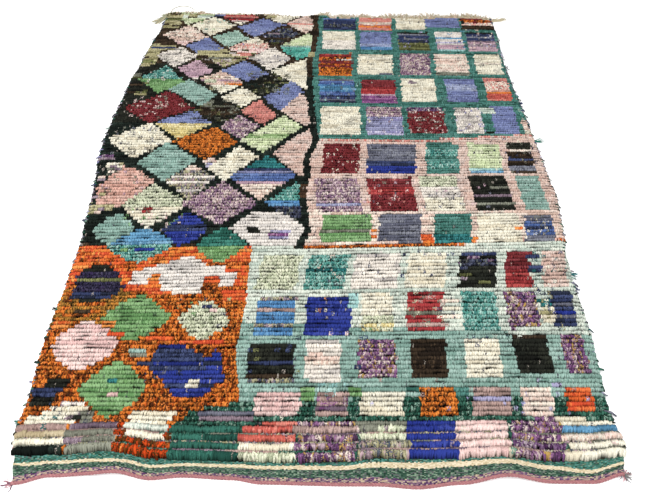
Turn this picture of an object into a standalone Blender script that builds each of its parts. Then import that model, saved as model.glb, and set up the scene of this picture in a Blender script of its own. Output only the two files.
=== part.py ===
"""Moroccan rag-pile rug, lying flat.

Rows of knotted pile run from side to side. The front end is flat-woven and closed by a twined
edge cord with a yarn tassel at each corner, and the back end keeps its warp fringe.
Metres, +Z up, the front edge towards -Y. Tables are read from the middle of the cloth, and the
whole rug is centred over the origin at the end.
"""
import math

import bmesh
import bpy
from mathutils import Vector, noise

COLLECTION = "moroccan_rug"
GAP = 0.0003

# Cloth: where the rows start and end, measured along the rug's middle line
FRONT_EDGE = -1.128
PILE_FRONT = -1.074
FRONT_WAVE_END = -0.950
BACK_EDGE = 1.122
WOVEN_THICKNESS = 0.004
WOVEN_LINES = 3
CLOTH_FACES_ACROSS = 10
FRONT_CUTS = 2
SIDE_ROUND = 0.010
RIM_HEIGHT_SHARE = 0.45
SIDE_UNDERCUT = 0.002
RIDGE_PLACE = 0.30
LUMP_HEIGHT = 0.0012
LUMP_SIZE = 0.07
ROW_WANDER = 0.003
ROW_WANDER_SIZE = 0.30
LOCK_REACH = 0.005

# Edge cord, fringe and corner tassels
CORD_RADIUS = 0.005
CORD_STEP = 0.0125
CORD_WAIST = 0.86
STRIP_DEPTH = 0.006
STRIP_THICKNESS = 0.003
STRAND_COUNT = 80
STRAND_TIP_WIDTH = 0.0016
STRAND_LEAN = 0.004
TASSEL_HEAD_RADIUS = 0.0045
TASSEL_HEAD_HEIGHT = 0.006

SIDE_EDGES = (
    # along the rug, left edge, right edge
    (-1.13, -0.724, 0.738),
    (-1.09, -0.736, 0.748),
    (-1.04, -0.749, 0.760),
    (-0.98, -0.755, 0.749),
    (-0.90, -0.750, 0.747),
    (-0.80, -0.757, 0.755),
    (-0.70, -0.760, 0.760),
    (-0.60, -0.760, 0.758),
    (-0.50, -0.755, 0.755),
    (-0.40, -0.755, 0.757),
    (-0.30, -0.755, 0.770),
    (-0.20, -0.765, 0.778),
    (-0.10, -0.770, 0.785),
    (0.00, -0.780, 0.778),
    (0.10, -0.795, 0.775),
    (0.20, -0.800, 0.770),
    (0.30, -0.795, 0.765),
    (0.50, -0.785, 0.755),
    (0.60, -0.780, 0.747),
    (0.70, -0.765, 0.742),
    (0.80, -0.755, 0.738),
    (0.90, -0.742, 0.742),
    (1.00, -0.725, 0.745),
    (1.12, -0.718, 0.740),
)

FRONT_END = (
    # across the rug, edge cord's middle, foot of the first pile row
    (-0.720, -1.147, -1.072),
    (-0.637, -1.126, -1.068),
    (-0.550, -1.122, -1.060),
    (-0.480, -1.117, -1.062),
    (-0.400, -1.130, -1.076),
    (-0.320, -1.122, -1.078),
    (-0.200, -1.127, -1.081),
    (-0.130, -1.137, -1.083),
    (0.050, -1.139, -1.080),
    (0.150, -1.138, -1.067),
    (0.240, -1.144, -1.068),
    (0.350, -1.131, -1.064),
    (0.464, -1.114, -1.062),
    (0.555, -1.125, -1.070),
    (0.660, -1.124, -1.066),
    (0.740, -1.104, -1.056),
)

ROW_SLOPES = (
    # along the rug, rise of a row towards the right for each metre across
    (-1.13, 0.010),
    (-0.70, 0.020),
    (-0.35, 0.038),
    (0.00, 0.014),
    (0.25, 0.000),
    (0.80, -0.014),
    (1.13, -0.030),
)

PILE_ZONES = (
    # from, to, row pitch, ridge height, valley height
    (PILE_FRONT, -0.982, 0.0232, 0.0210, 0.0090),
    (-0.982, -0.360, 0.0144, 0.0160, 0.0100),
    (-0.360, 0.220, 0.0141, 0.0150, 0.0095),
    (0.220, BACK_EDGE, 0.0129, 0.0150, 0.0095),
)

LONG_LOCKS = (
    # side, place along the rug, reach past the rim
    (1, 0.222, 0.034),
    (1, -0.470, 0.020),
    (1, -0.525, 0.013),
    (1, 0.470, 0.012),
    (-1, -0.200, 0.013),
    (-1, -0.580, 0.013),
    (-1, -0.975, 0.012),
)

RIPPLES = (
    # across the rug, half width, lift of the front edge
    (-0.500, 0.120, 0.008),
    (0.462, 0.130, 0.010),
    (0.760, 0.070, 0.006),
)
RIPPLE_END = -0.860

FRINGE_LENGTHS = (
    # across the rug, length of the warp ends
    (-0.720, 0.020),
    (-0.560, 0.030),
    (-0.390, 0.044),
    (-0.250, 0.030),
    (-0.120, 0.050),
    (-0.020, 0.030),
    (0.040, 0.058),
    (0.110, 0.036),
    (0.170, 0.054),
    (0.250, 0.030),
    (0.335, 0.070),
    (0.400, 0.034),
    (0.465, 0.066),
    (0.540, 0.032),
    (0.615, 0.062),
    (0.740, 0.030),
)

# Warp ends gathered at the back corners: the path of each over the floor, from its root outwards
LEFT_CORNER_END = ((-0.738, 1.146), (-0.750, 1.126), (-0.755, 1.106))
RIGHT_CORNER_END = ((0.765, 1.118), (0.790, 1.143), (0.815, 1.164))
LOOSE_WARP = ((-0.708, 1.205), (-0.690, 1.232), (-0.662, 1.243), (-0.630, 1.232), (-0.606, 1.207))
CORNER_END_WIDTH = 0.007
LOOSE_WARP_WIDTH = 0.0024

TASSEL_STRANDS_LEFT = (
    # direction in degrees from +X, length
    (152.0, 0.012),
    (180.0, 0.016),
    (206.0, 0.020),
    (232.0, 0.013),
)
TASSEL_STRANDS_RIGHT = (
    # direction in degrees from +X, length
    (64.0, 0.014),
    (30.0, 0.022),
    (0.0, 0.026),
    (-30.0, 0.020),
    (-58.0, 0.016),
    (-88.0, 0.013),
)

PILE_COLOUR = (0.42, 0.40, 0.36, 1.0)
CORD_COLOUR = (0.62, 0.27, 0.27, 1.0)
WARP_COLOUR = (0.62, 0.52, 0.36, 1.0)
TASSEL_COLOUR = (0.60, 0.24, 0.26, 1.0)
YARN_ROUGHNESS = 0.9


def read_table(rows, place, column=1):
    """A table's value at a place in its first column, eased from row to row."""
    place = min(max(place, rows[0][0]), rows[-1][0])
    for low, high in zip(rows, rows[1:]):
        if place <= high[0]:
            break
    share = (place - low[0]) / (high[0] - low[0])
    share = share * share * (3.0 - 2.0 * share)
    return low[column] + share * (high[column] - low[column])


def straight_row(place, x):
    """Where a row crosses x: rows run nearly square to the sides, at a slope that varies."""
    return place + read_table(ROW_SLOPES, place) * x


def cloth_y(place, x):
    """The real place of a row line at x, with the wavy front end and the rows' slow wander."""
    if place <= FRONT_WAVE_END:
        edge = read_table(FRONT_END, x, 1) + CORD_RADIUS + GAP
        foot = read_table(FRONT_END, x, 2)
        bend_at_edge = edge - straight_row(FRONT_EDGE, x)
        bend_at_foot = foot - straight_row(PILE_FRONT, x)
        if place <= PILE_FRONT:
            share = (place - FRONT_EDGE) / (PILE_FRONT - FRONT_EDGE)
            return straight_row(place, x) + bend_at_edge + share * (bend_at_foot - bend_at_edge)
        share = (FRONT_WAVE_END - place) / (FRONT_WAVE_END - PILE_FRONT)
        return straight_row(place, x) + share * bend_at_foot
    fade = min(1.0, (place - FRONT_WAVE_END) / 0.1, (BACK_EDGE - place) / 0.1)
    wave = noise.noise(Vector((x / ROW_WANDER_SIZE, place / ROW_WANDER_SIZE, 0.5)))
    return straight_row(place, x) + fade * ROW_WANDER * wave


def lift(place, x):
    """How far the ripples of the front end raise the cloth off the floor."""
    depth = min(max((RIPPLE_END - place) / (RIPPLE_END - FRONT_EDGE), 0.0), 1.0)
    total = 0.0
    for centre, half_width, height in RIPPLES:
        off = abs(x - centre) / half_width
        if off < 1.0:
            total += height * math.cos(off * math.pi / 2.0) ** 2
    return total * depth * depth * (3.0 - 2.0 * depth)


def row_lines():
    """Lines across the cloth from front to back: place, height and whether it is a pile ridge."""
    lines = []
    for i in range(WOVEN_LINES):
        share = i / WOVEN_LINES
        lines.append((FRONT_EDGE + share * (PILE_FRONT - FRONT_EDGE), WOVEN_THICKNESS, False))
    lines.append((PILE_FRONT - 0.002, WOVEN_THICKNESS, False))
    for start, end, pitch, ridge, valley in PILE_ZONES:
        rows = round((end - start) / pitch)
        step = (end - start) / rows
        for row in range(rows):
            lines.append((start + row * step, valley, False))
            lines.append((start + (row + RIDGE_PLACE) * step, ridge, True))
    lines.append((BACK_EDGE, PILE_ZONES[-1][4], False))
    return lines


def lock_reach(place, side, lines):
    """How far a pile ridge's end lock stands out past the cloth's side."""
    reach = LOCK_REACH * (1.0 + 0.7 * noise.noise(Vector((side * 9.0, place * 47.0, 2.0))))
    for lock_side, lock_place, length in LONG_LOCKS:
        ridges = [line[0] for line in lines if line[2]]
        nearest = min(ridges, key=lambda ridge: abs(ridge - lock_place))
        if lock_side == side and nearest == place:
            reach = length
    return reach


def yarn_material(name, colour):
    """Matt wool and cotton yarn."""
    material = bpy.data.materials.new(name)
    material.use_nodes = True
    shader = material.node_tree.nodes["Principled BSDF"]
    shader.inputs["Base Color"].default_value = colour
    shader.inputs["Roughness"].default_value = YARN_ROUGHNESS
    shader.inputs["Metallic"].default_value = 0.0
    return material


def add_object(name, bm, colour, collection):
    """Closes a bmesh into a named object with its own material."""
    bmesh.ops.recalc_face_normals(bm, faces=bm.faces)
    mesh = bpy.data.meshes.new(name)
    bm.to_mesh(mesh)
    bm.free()
    item = bpy.data.objects.new(name, mesh)
    item.data.materials.append(yarn_material(name + "_yarn", colour))
    collection.objects.link(item)
    return item


def make_cloth(collection):
    """The pile field and its flat-woven front end, one slab with its rows raised."""
    lines = row_lines()
    bm = bmesh.new()
    bmesh.ops.create_grid(bm, x_segments=CLOTH_FACES_ACROSS, y_segments=len(lines) - 1, size=1.0)

    # Share across runs 0 to 1 in x, and the line's number waits in y until it is mapped
    width = SIDE_EDGES[0][2] - SIDE_EDGES[0][1]
    side_share = SIDE_ROUND / width
    for vert in bm.verts:
        column = round((vert.co.x + 1.0) / 2.0 * CLOTH_FACES_ACROSS)
        line = round((vert.co.y + 1.0) / 2.0 * (len(lines) - 1))
        inner = (column - 1) / (CLOTH_FACES_ACROSS - 2)
        share = side_share + inner * (1.0 - 2.0 * side_share)
        if column == 0:
            share = 0.0
        if column == CLOTH_FACES_ACROSS:
            share = 1.0
        vert.co = Vector((share, line, 0.0))

    # The wavy front end needs more points across than the field
    front_lines = len([line for line in lines if line[0] < PILE_ZONES[0][1]])
    front_edges = []
    for edge in bm.edges:
        a, b = (vert.co for vert in edge.verts)
        crosses = abs(a.y - b.y) < 0.5 and abs(a.x - b.x) > 2.0 * side_share
        if crosses and a.y < front_lines:
            front_edges.append(edge)
    bmesh.ops.subdivide_edges(bm, edges=front_edges, cuts=FRONT_CUTS, use_grid_fill=True)

    solid = bmesh.ops.extrude_face_region(bm, geom=bm.faces[:] + bm.edges[:] + bm.verts[:])
    top = {item for item in solid["geom"] if isinstance(item, bmesh.types.BMVert)}
    inner_bottom_edges = []
    for edge in bm.edges:
        a, b = edge.verts
        runs_back = abs(a.co.y - b.co.y) > 0.5
        inside = side_share / 2.0 < a.co.x < 1.0 - side_share / 2.0
        flat = lines[round(min(a.co.y, b.co.y))][0] > RIPPLE_END
        if a not in top and b not in top and runs_back and inside and flat:
            inner_bottom_edges.append(edge)
    for vert in bm.verts:
        share = vert.co.x
        place, height, is_ridge = lines[round(vert.co.y)]
        left = read_table(SIDE_EDGES, place, 1)
        right = read_table(SIDE_EDGES, place, 2)
        at_side = share == 0.0 or share == 1.0
        x = left + share * (right - left)
        side = -1 if share < 0.5 else 1
        if at_side and is_ridge:
            x += side * lock_reach(place, side, lines)
        floor = lift(place, x)
        if vert in top:
            lump = LUMP_HEIGHT * noise.noise(Vector((x, place, 0.0)) / LUMP_SIZE)
            if at_side:
                height = max(WOVEN_THICKNESS * 0.75, height * RIM_HEIGHT_SHARE)
                lump = 0.0
            if height <= WOVEN_THICKNESS:
                lump = 0.0
            vert.co = Vector((x, cloth_y(place, x), floor + height + lump))
        else:
            if at_side:
                x -= side * SIDE_UNDERCUT
            vert.co = Vector((x, cloth_y(place, x), floor))
    bmesh.ops.dissolve_edges(bm, edges=inner_bottom_edges, use_verts=True)
    return add_object("pile_rug", bm, PILE_COLOUR, collection)


def front_line():
    """The cloth's front edge as the slab has it: straight runs between its mapped points."""
    left = SIDE_EDGES[0][1]
    width = SIDE_EDGES[0][2] - left
    side_share = SIDE_ROUND / width
    shares = [0.0]
    parts = (CLOTH_FACES_ACROSS - 2) * (FRONT_CUTS + 1)
    for i in range(parts + 1):
        shares.append(side_share + i / parts * (1.0 - 2.0 * side_share))
    shares.append(1.0)
    points = []
    for share in shares:
        x = left + share * width
        points.append(Vector((x, cloth_y(FRONT_EDGE, x), lift(FRONT_EDGE, x))))
    return points


def make_edge_cord(collection):
    """The twined cord along the front edge, laid as lumps of yarn."""
    path = []
    for a, b in zip(front_line(), front_line()[1:]):
        steps = max(1, round((b - a).length / CORD_STEP))
        for i in range(steps):
            path.append(a.lerp(b, i / steps))
    path.append(front_line()[-1])
    curve = bpy.data.curves.new("edge_cord", "CURVE")
    curve.dimensions = "3D"
    curve.bevel_depth = CORD_RADIUS
    curve.bevel_resolution = 2
    curve.use_fill_caps = True
    spline = curve.splines.new("POLY")
    spline.points.add(len(path) - 1)
    for i, (point, place) in enumerate(zip(spline.points, path)):
        point.co = (place.x, place.y - CORD_RADIUS - GAP, place.z + CORD_RADIUS, 1.0)
        point.radius = 1.0 if i % 2 else CORD_WAIST
    guide = bpy.data.objects.new("edge_cord_guide", curve)
    collection.objects.link(guide)
    bpy.context.view_layer.update()
    evaluated = guide.evaluated_get(bpy.context.evaluated_depsgraph_get())
    bm = bmesh.new()
    bm.from_mesh(bpy.data.meshes.new_from_object(evaluated))
    bpy.data.objects.remove(guide)
    bmesh.ops.remove_doubles(bm, verts=bm.verts, dist=0.00001)
    return add_object("edge_cord", bm, CORD_COLOUR, collection)


def set_section(face, centre, direction, width, thickness, side_before):
    """Squares a strand's end face up across its direction, its underside kept on the floor."""
    side = Vector((-direction.y, direction.x, 0.0))
    old_centre = face.calc_center_median()
    for vert in face.verts:
        offset = vert.co - old_centre
        hand = 1.0 if offset.dot(side_before) > 0.0 else -1.0
        height = thickness if offset.z > 0.0 else 0.0
        vert.co = centre + side * (hand * width / 2.0) + Vector((0.0, 0.0, height))
    return side


def grow_strand(bm, face, path, widths, thickness):
    """Draws a tapering strand out of one upright face of its backing along a path on the floor."""
    before = face.calc_center_median()
    before.z = min(vert.co.z for vert in face.verts)
    normal = face.normal.copy()
    side = Vector((-normal.y, normal.x, 0.0)).normalized()
    for i, place in enumerate(path):
        face = bmesh.ops.extrude_discrete_faces(bm, faces=[face])["faces"][0]
        here = Vector((place[0], place[1], before.z))
        ahead = here
        if i + 1 < len(path):
            ahead = Vector((path[i + 1][0], path[i + 1][1], before.z))
        direction = (ahead - before).normalized()
        share = 1.0 - 0.4 * i / len(path)
        side = set_section(face, here, direction, widths[i], thickness * share, side)
        before = here


def make_fringe(collection):
    """Warp ends in clumps, fused at their roots to a narrow strip along the back edge."""
    left = SIDE_EDGES[-1][1] + 0.002
    right = SIDE_EDGES[-1][2] - 0.002
    cells = 2 * STRAND_COUNT + 1
    bm = bmesh.new()
    bmesh.ops.create_grid(bm, x_segments=cells, y_segments=1, size=1.0)
    solid = bmesh.ops.extrude_face_region(bm, geom=bm.faces[:] + bm.edges[:] + bm.verts[:])
    top = {item for item in solid["geom"] if isinstance(item, bmesh.types.BMVert)}
    for vert in bm.verts:
        x = left + (vert.co.x + 1.0) / 2.0 * (right - left)
        y = cloth_y(BACK_EDGE, x) + GAP
        if vert.co.y > 0.0:
            y += STRIP_DEPTH
        vert.co = Vector((x, y, STRIP_THICKNESS if vert in top else 0.0))
    bmesh.ops.recalc_face_normals(bm, faces=bm.faces)

    outer = [face for face in bm.faces if face.normal.y > 0.7]
    outer.sort(key=lambda face: face.calc_center_median().x)
    left_end = min(bm.faces, key=lambda face: face.calc_center_median().x)
    right_end = max(bm.faces, key=lambda face: face.calc_center_median().x)
    cell_width = (right - left) / cells
    for i, face in enumerate(outer[1::2]):
        root = face.calc_center_median()
        if i == 0:
            grow_strand(bm, face, LOOSE_WARP, [LOOSE_WARP_WIDTH] * len(LOOSE_WARP), STRIP_THICKNESS)
            continue
        length = read_table(FRINGE_LENGTHS, root.x)
        length *= 0.85 + 0.3 * noise.noise(Vector((root.x * 60.0, 0.0, 7.0)))
        lean = STRAND_LEAN * noise.noise(Vector((root.x * 25.0, 3.0, 0.0)))
        path = ((root.x + lean / 3.0, root.y + 0.4 * length), (root.x + lean, root.y + length))
        grow_strand(bm, face, path, (0.6 * cell_width, STRAND_TIP_WIDTH), STRIP_THICKNESS)
    corner_widths = (CORNER_END_WIDTH, CORNER_END_WIDTH, CORNER_END_WIDTH * 0.6)
    grow_strand(bm, left_end, LEFT_CORNER_END, corner_widths, STRIP_THICKNESS)
    grow_strand(bm, right_end, RIGHT_CORNER_END, corner_widths, STRIP_THICKNESS)
    return add_object("warp_fringe", bm, WARP_COLOUR, collection)


def make_tassel(name, end, strands, collection):
    """A knot of yarn at a corner, its strands spread over the floor."""
    bm = bmesh.new()
    bmesh.ops.create_cone(
        bm,
        cap_ends=True,
        segments=12,
        radius1=TASSEL_HEAD_RADIUS,
        radius2=TASSEL_HEAD_RADIUS * 0.8,
        depth=TASSEL_HEAD_HEIGHT,
    )
    centre = Vector((end.x, end.y, end.z + TASSEL_HEAD_HEIGHT / 2.0))
    bmesh.ops.translate(bm, verts=bm.verts, vec=centre)
    for degrees, length in strands:
        turn = math.radians(degrees)
        direction = Vector((math.cos(turn), math.sin(turn), 0.0))
        walls = [face for face in bm.faces if abs(face.normal.z) < 0.5]
        near = [face for face in walls if (face.calc_center_median() - centre).length < 0.006]
        face = max(near, key=lambda wall: wall.normal.dot(direction))
        path = []
        for share in (0.5, 1.0):
            path.append(centre + direction * (TASSEL_HEAD_RADIUS + share * length))
        grow_strand(bm, face, path, (0.0022, 0.0014), TASSEL_HEAD_HEIGHT * 0.55)
    return add_object(name, bm, TASSEL_COLOUR, collection)


def centre_on_floor(items):
    """Moves every mesh so the whole rug's box is centred over the origin, its underside at 0."""
    points = [vert.co for item in items for vert in item.data.vertices]
    middle_x = (min(p.x for p in points) + max(p.x for p in points)) / 2.0
    middle_y = (min(p.y for p in points) + max(p.y for p in points)) / 2.0
    lowest = min(p.z for p in points)
    for item in items:
        for vert in item.data.vertices:
            vert.co -= Vector((middle_x, middle_y, lowest))


def main():
    for item in list(bpy.data.objects):
        bpy.data.objects.remove(item)
    collection = bpy.data.collections.new(COLLECTION)
    bpy.context.scene.collection.children.link(collection)
    items = [make_cloth(collection), make_edge_cord(collection), make_fringe(collection)]
    reach = TASSEL_HEAD_RADIUS + GAP
    drop = Vector((0.0, -CORD_RADIUS - GAP, 0.0))
    left_end = front_line()[0] + drop - Vector((reach, 0.0, 0.0))
    right_end = front_line()[-1] + drop + Vector((reach, 0.0, 0.0))
    items.append(make_tassel("corner_tassel_left", left_end, TASSEL_STRANDS_LEFT, collection))
    items.append(make_tassel("corner_tassel_right", right_end, TASSEL_STRANDS_RIGHT, collection))
    centre_on_floor(items)
    print("triangles", {item.name: len(item.data.polygons) for item in items})


main()
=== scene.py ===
"""Moroccan rag-pile rug: how it looks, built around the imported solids.

The pile is made knot by knot: a few knot shapes are set in rows over the ground cloth, each in
the yarn that the chart of panels gives for its place. Chart places are in metres from the middle
of the cloth, as in the solids' own tables, and CHART_MIDDLE moves them over the frame's origin.
"""
import math

import bmesh
import bpy
import numpy as np
from mathutils import Matrix, Vector, noise

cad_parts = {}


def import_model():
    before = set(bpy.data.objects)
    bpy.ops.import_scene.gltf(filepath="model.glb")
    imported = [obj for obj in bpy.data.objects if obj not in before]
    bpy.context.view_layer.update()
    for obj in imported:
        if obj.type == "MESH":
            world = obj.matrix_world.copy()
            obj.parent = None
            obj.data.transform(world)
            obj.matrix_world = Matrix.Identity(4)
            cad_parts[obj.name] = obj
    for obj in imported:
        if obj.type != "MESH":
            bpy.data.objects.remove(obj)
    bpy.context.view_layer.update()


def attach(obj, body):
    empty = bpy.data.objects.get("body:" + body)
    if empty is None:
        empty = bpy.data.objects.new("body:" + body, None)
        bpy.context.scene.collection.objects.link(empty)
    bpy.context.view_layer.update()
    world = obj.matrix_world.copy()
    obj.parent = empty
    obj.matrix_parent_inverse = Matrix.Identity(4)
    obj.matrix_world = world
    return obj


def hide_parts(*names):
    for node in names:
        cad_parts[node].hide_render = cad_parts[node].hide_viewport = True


CHART_MIDDLE = (0.0052, 0.0415)

# Camera: at standing eye height before the front edge, looking down at the rug's middle
CAMERA_PLACE = (0.0295, -2.0122, 1.661)
CAMERA_YAW = -0.0148
CAMERA_PITCH = 0.7837
CAMERA_LENS = 42.0
SENSOR_WIDTH = 36.0

# Cloth, from the same sizes as the solids: places along the rug, before its rows wander
FRONT_EDGE = -1.128
PILE_FRONT = -1.074
FRONT_WAVE_END = -0.950
BACK_EDGE = 1.122
PILE_BACK = 1.148
ROW_WANDER = 0.003
ROW_WANDER_SIZE = 0.30
CORD_RADIUS = 0.005
CORD_GAP = 0.0003
RIPPLE_END = -0.860
CLOTH_THICKNESS = 0.0030

# Knots: the size of the plain knot shape, how far before its root a knot is seen for its height,
# how long one hank's colour runs, and the size of the spots that a second ply or a marl shows
KNOT_WIDTH = 0.0045
KNOT_STEP = 0.0140
KNOT_HEIGHT = 0.0150
SEEN_SHIFT = 0.55
HANK_RUN = 0.10
SPOT_SIZE = 0.0045
MARL_LUMP = 0.008
KNOT_SHAPES = 24
PILE_PIECES = 6
RIM_WIDTH = 0.014
DARK_FLECK = "4A4650"
PALE_FLECK = "A39A90"

# Loose yarn ends: the length of the plain strand, and how many stand in the fringe
STRAND_LENGTH = 0.030
STRAND_RADIUS = 0.0011
STRAND_SHAPES = 12
FRINGE_COUNT = 1500

# Twisted edge cord and the long loose warp
CORD_PLY_RADIUS = 0.0031
CORD_PLY_OFFSET = 0.0019
CORD_TWIST_LENGTH = 0.016
CORD_POINTS = 600
LOOSE_WARP_RADIUS = 0.0015
LOOSE_WARP_HEIGHT = 0.0016

SIDE_EDGES = (
    # along the rug, left edge, right edge
    (-1.13, -0.724, 0.738),
    (-1.09, -0.736, 0.748),
    (-1.04, -0.749, 0.760),
    (-0.98, -0.755, 0.749),
    (-0.90, -0.750, 0.747),
    (-0.80, -0.757, 0.755),
    (-0.70, -0.760, 0.760),
    (-0.60, -0.760, 0.758),
    (-0.50, -0.755, 0.755),
    (-0.40, -0.755, 0.757),
    (-0.30, -0.755, 0.770),
    (-0.20, -0.765, 0.778),
    (-0.10, -0.770, 0.785),
    (0.00, -0.780, 0.778),
    (0.10, -0.795, 0.775),
    (0.20, -0.800, 0.770),
    (0.30, -0.795, 0.765),
    (0.50, -0.785, 0.755),
    (0.60, -0.780, 0.747),
    (0.70, -0.765, 0.742),
    (0.80, -0.755, 0.738),
    (0.90, -0.742, 0.742),
    (1.00, -0.725, 0.745),
    (1.12, -0.718, 0.740),
)

# Yarns: hex colours that the weaver mixes, each knot drawing one of them
YARNS = {
    "cream": "E8E3D1 E3DCC7 E8E3D1 D7CEB7",
    "ivory": "E9E1D6 DED6CB E9E1D6 BFB8B2",
    "white": "E4DDD5 DAD3CB E4DDD5 C9C3BD",
    "mint_cream": "D2D5BC C1C6A9 DBDBC2 A6AC90",
    "blush": "DBC6BB D4B9AB DBC6BB CCAEA1",
    "blush_cream": "E4D3C6 DFC4B6 E8DDCE D0B5A6",
    "rose": "E8D0C9 E0C2BC E8D0C9 D7B4AF",
    "peach": "D6AC9D CC9F90 DDB7A9 C19485",
    "coral": "D08A80 C57F76 D69488 BE766C",
    "watermelon": "CE6E60 C26255 D48476 B8584E",
    "mauve": "C6A9B3 BA9BA7 C6A9B3 AC8F9D",
    "orchid": "986892 8A5687 AA809F 704270",
    "lilac": "A9A5C4 9591B7 C6C2D6 8683A9",
    "periwinkle": "7D87B0 737DA8 8791B8 6B739D",
    "pale_periwinkle": "A6AEC9 99A2C0 B4BACF 8D96B6",
    "denim": "5A70A3 4F6598 6C81B0 455A8B",
    "royal": "2D3B8A 253281 3B4896 202B6B",
    "cobalt": "5A8AB7 4F7EAB 6E9CC2 47729B",
    "navy": "363F61 2D3552 454F73 282E41",
    "slate": "747582 686A78 83858F 5C5E6D",
    "sky": "6A9DBE 5B8DAF 85AFCA 4C7A98",
    "teal": "2C6E71 23605F 3C8283 1E4F50",
    "jade": "4F8077 43756B 5C8C83 38655B",
    "turquoise": "5FAFA0 50A293 76BEAF 458E80",
    "seafoam": "94B1A6 8AA89D A0BAB0 7D9C91",
    "pale_seafoam": "A6C2B3 9CB8A9 B2CCBE 8FAD9F",
    "mint": "D1D8CB C4CEC1 DBDFD2 B2BEB2",
    "aqua": "A8CFCB 9BC4C1 B8D9D5 88B3B1",
    "pistachio": "D4DDB7 C7D2A8 DEE3C3 B7C399",
    "pale_leaf": "A5BE8A 98B27D B2C998 86A06D",
    "leaf": "7CA26E 709661 8BAF7C 628A57",
    "forest": "347163 2B6256 448375 235247",
    "deep_green": "2F5F52 28554A 376C5E 214A40",
    "green_melange": "2E5A4B 234A3C 3C6B5B 7C9A8A 1C3A30",
    "olive": "6E7148 5E613C 7F8255 4A4C2E",
    "khaki": "AEA780 9F9971 BDB690 8C8560",
    "yellow": "DACC94 D1C184 E1D5A7 C0AD6E",
    "burgundy": "7A3134 6F292C 863D41 612427",
    "crimson": "A43D3F 963234 B24E4C 822D2F",
    "plum": "907387 AA909D C9B5B7 765775 DDCEC3 9E7F8E B6A298 654A65",
    "plum_bright": "704871 8C6488 BDA6AD 5B395E DACBBD AF9053 7D5781 A48A96 4E364F",
    "plum_dark": "54355A 6A4A70 45294A 7D6180 A89AA0",
    "orange_marl": "D0742D E38A3F AE5D24 753E19 D47B33 422716",
    "rust_marl": "C45A24 D47434 9A451B 4E2711 DC8444 5F2F13",
    "shag": "D2501E 5A3413 C4461A 3E2A10 B8401A 6A3A16",
    "night": "2E2A40 25243A 3A3550 464158 201E2E 34294A",
    "ochre_marl": "B07A35 C9883A 7D5B28 5A4420 CF883C 8F6A30",
    "dark_mix": "2A2F4A 4A4F62 6F7265 1E2029 565A6E 34363A",
    "jade_mix": "4A8A80 6AA399 3A7570 8DB9AE 5A9488 A3C4BA",
    "khaki_mix": "98926F B7B39B 6C6A74 A59F7D 4C5460 B49AA0",
    "cream_coral": "E9DFCF E3BFB0 D98F86 E9DFCF DDAFA4",
    "burgundy_fleck": "782F33 6D2929 833B41 612427 782F33 6F292C",
    "lilac_grey": "9B9CB8 8E90AE ACABC2 7E80A0",
    "orange": "D87038 E2873F CB5E2E E69650",
    "orange_red": "D05532 DC6736 B24628 E27642 C64E30",
    "brown": "4A3526 3E2C20 574132 33241A",
    "black_brown": "3C3024 31271D 483A2C 251D16",
    "black": "242620 1D1F1A 2D2F27 171814",
    "black_green": "1C241F 161C19 26302A 101613",
    "taupe": "B2978F A48A83 BCA199 967E77",
    "grey": "808274 757669 8C8E7F 696A5D",
    "plum_grey": "8C7A84 7C6A76 9C8C95 6C5B68",
    "tan": "CDBFA2 C2B394 D7CAB0 B4A484",
    "woven_green": "334E3F 264034 476152 748874 1F3429 585A5A",
    "woven_plum": "4E3356 7A6270 A8947F 684A6C 8F7876 B5A68C 3F2C45",
}
YARN_NAMES = tuple(YARNS)

# The chart: height of one of its rows, how unevenly shapes step from row to row, how far a knot may
# lie past a shape's side, and a different first number for the steps of each kind of shape
CHART_ROW = 0.0135
SHAPE_STEP = 0.006
SQUARE_STEP = 0.004
BAR_STEP = 0.005
BAND_STEP = 0.008
BORDER_STEP = 0.003
SIDE_SLACK = 0.0045
FIRST_BLOB = 90
FIRST_FIGURE = 150
FIRST_SQUARE = 200
FIRST_BAR = 400
FIRST_BAND = 600
BORDER_SEED = 7
PATCH_WIDTH = 0.026

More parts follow.
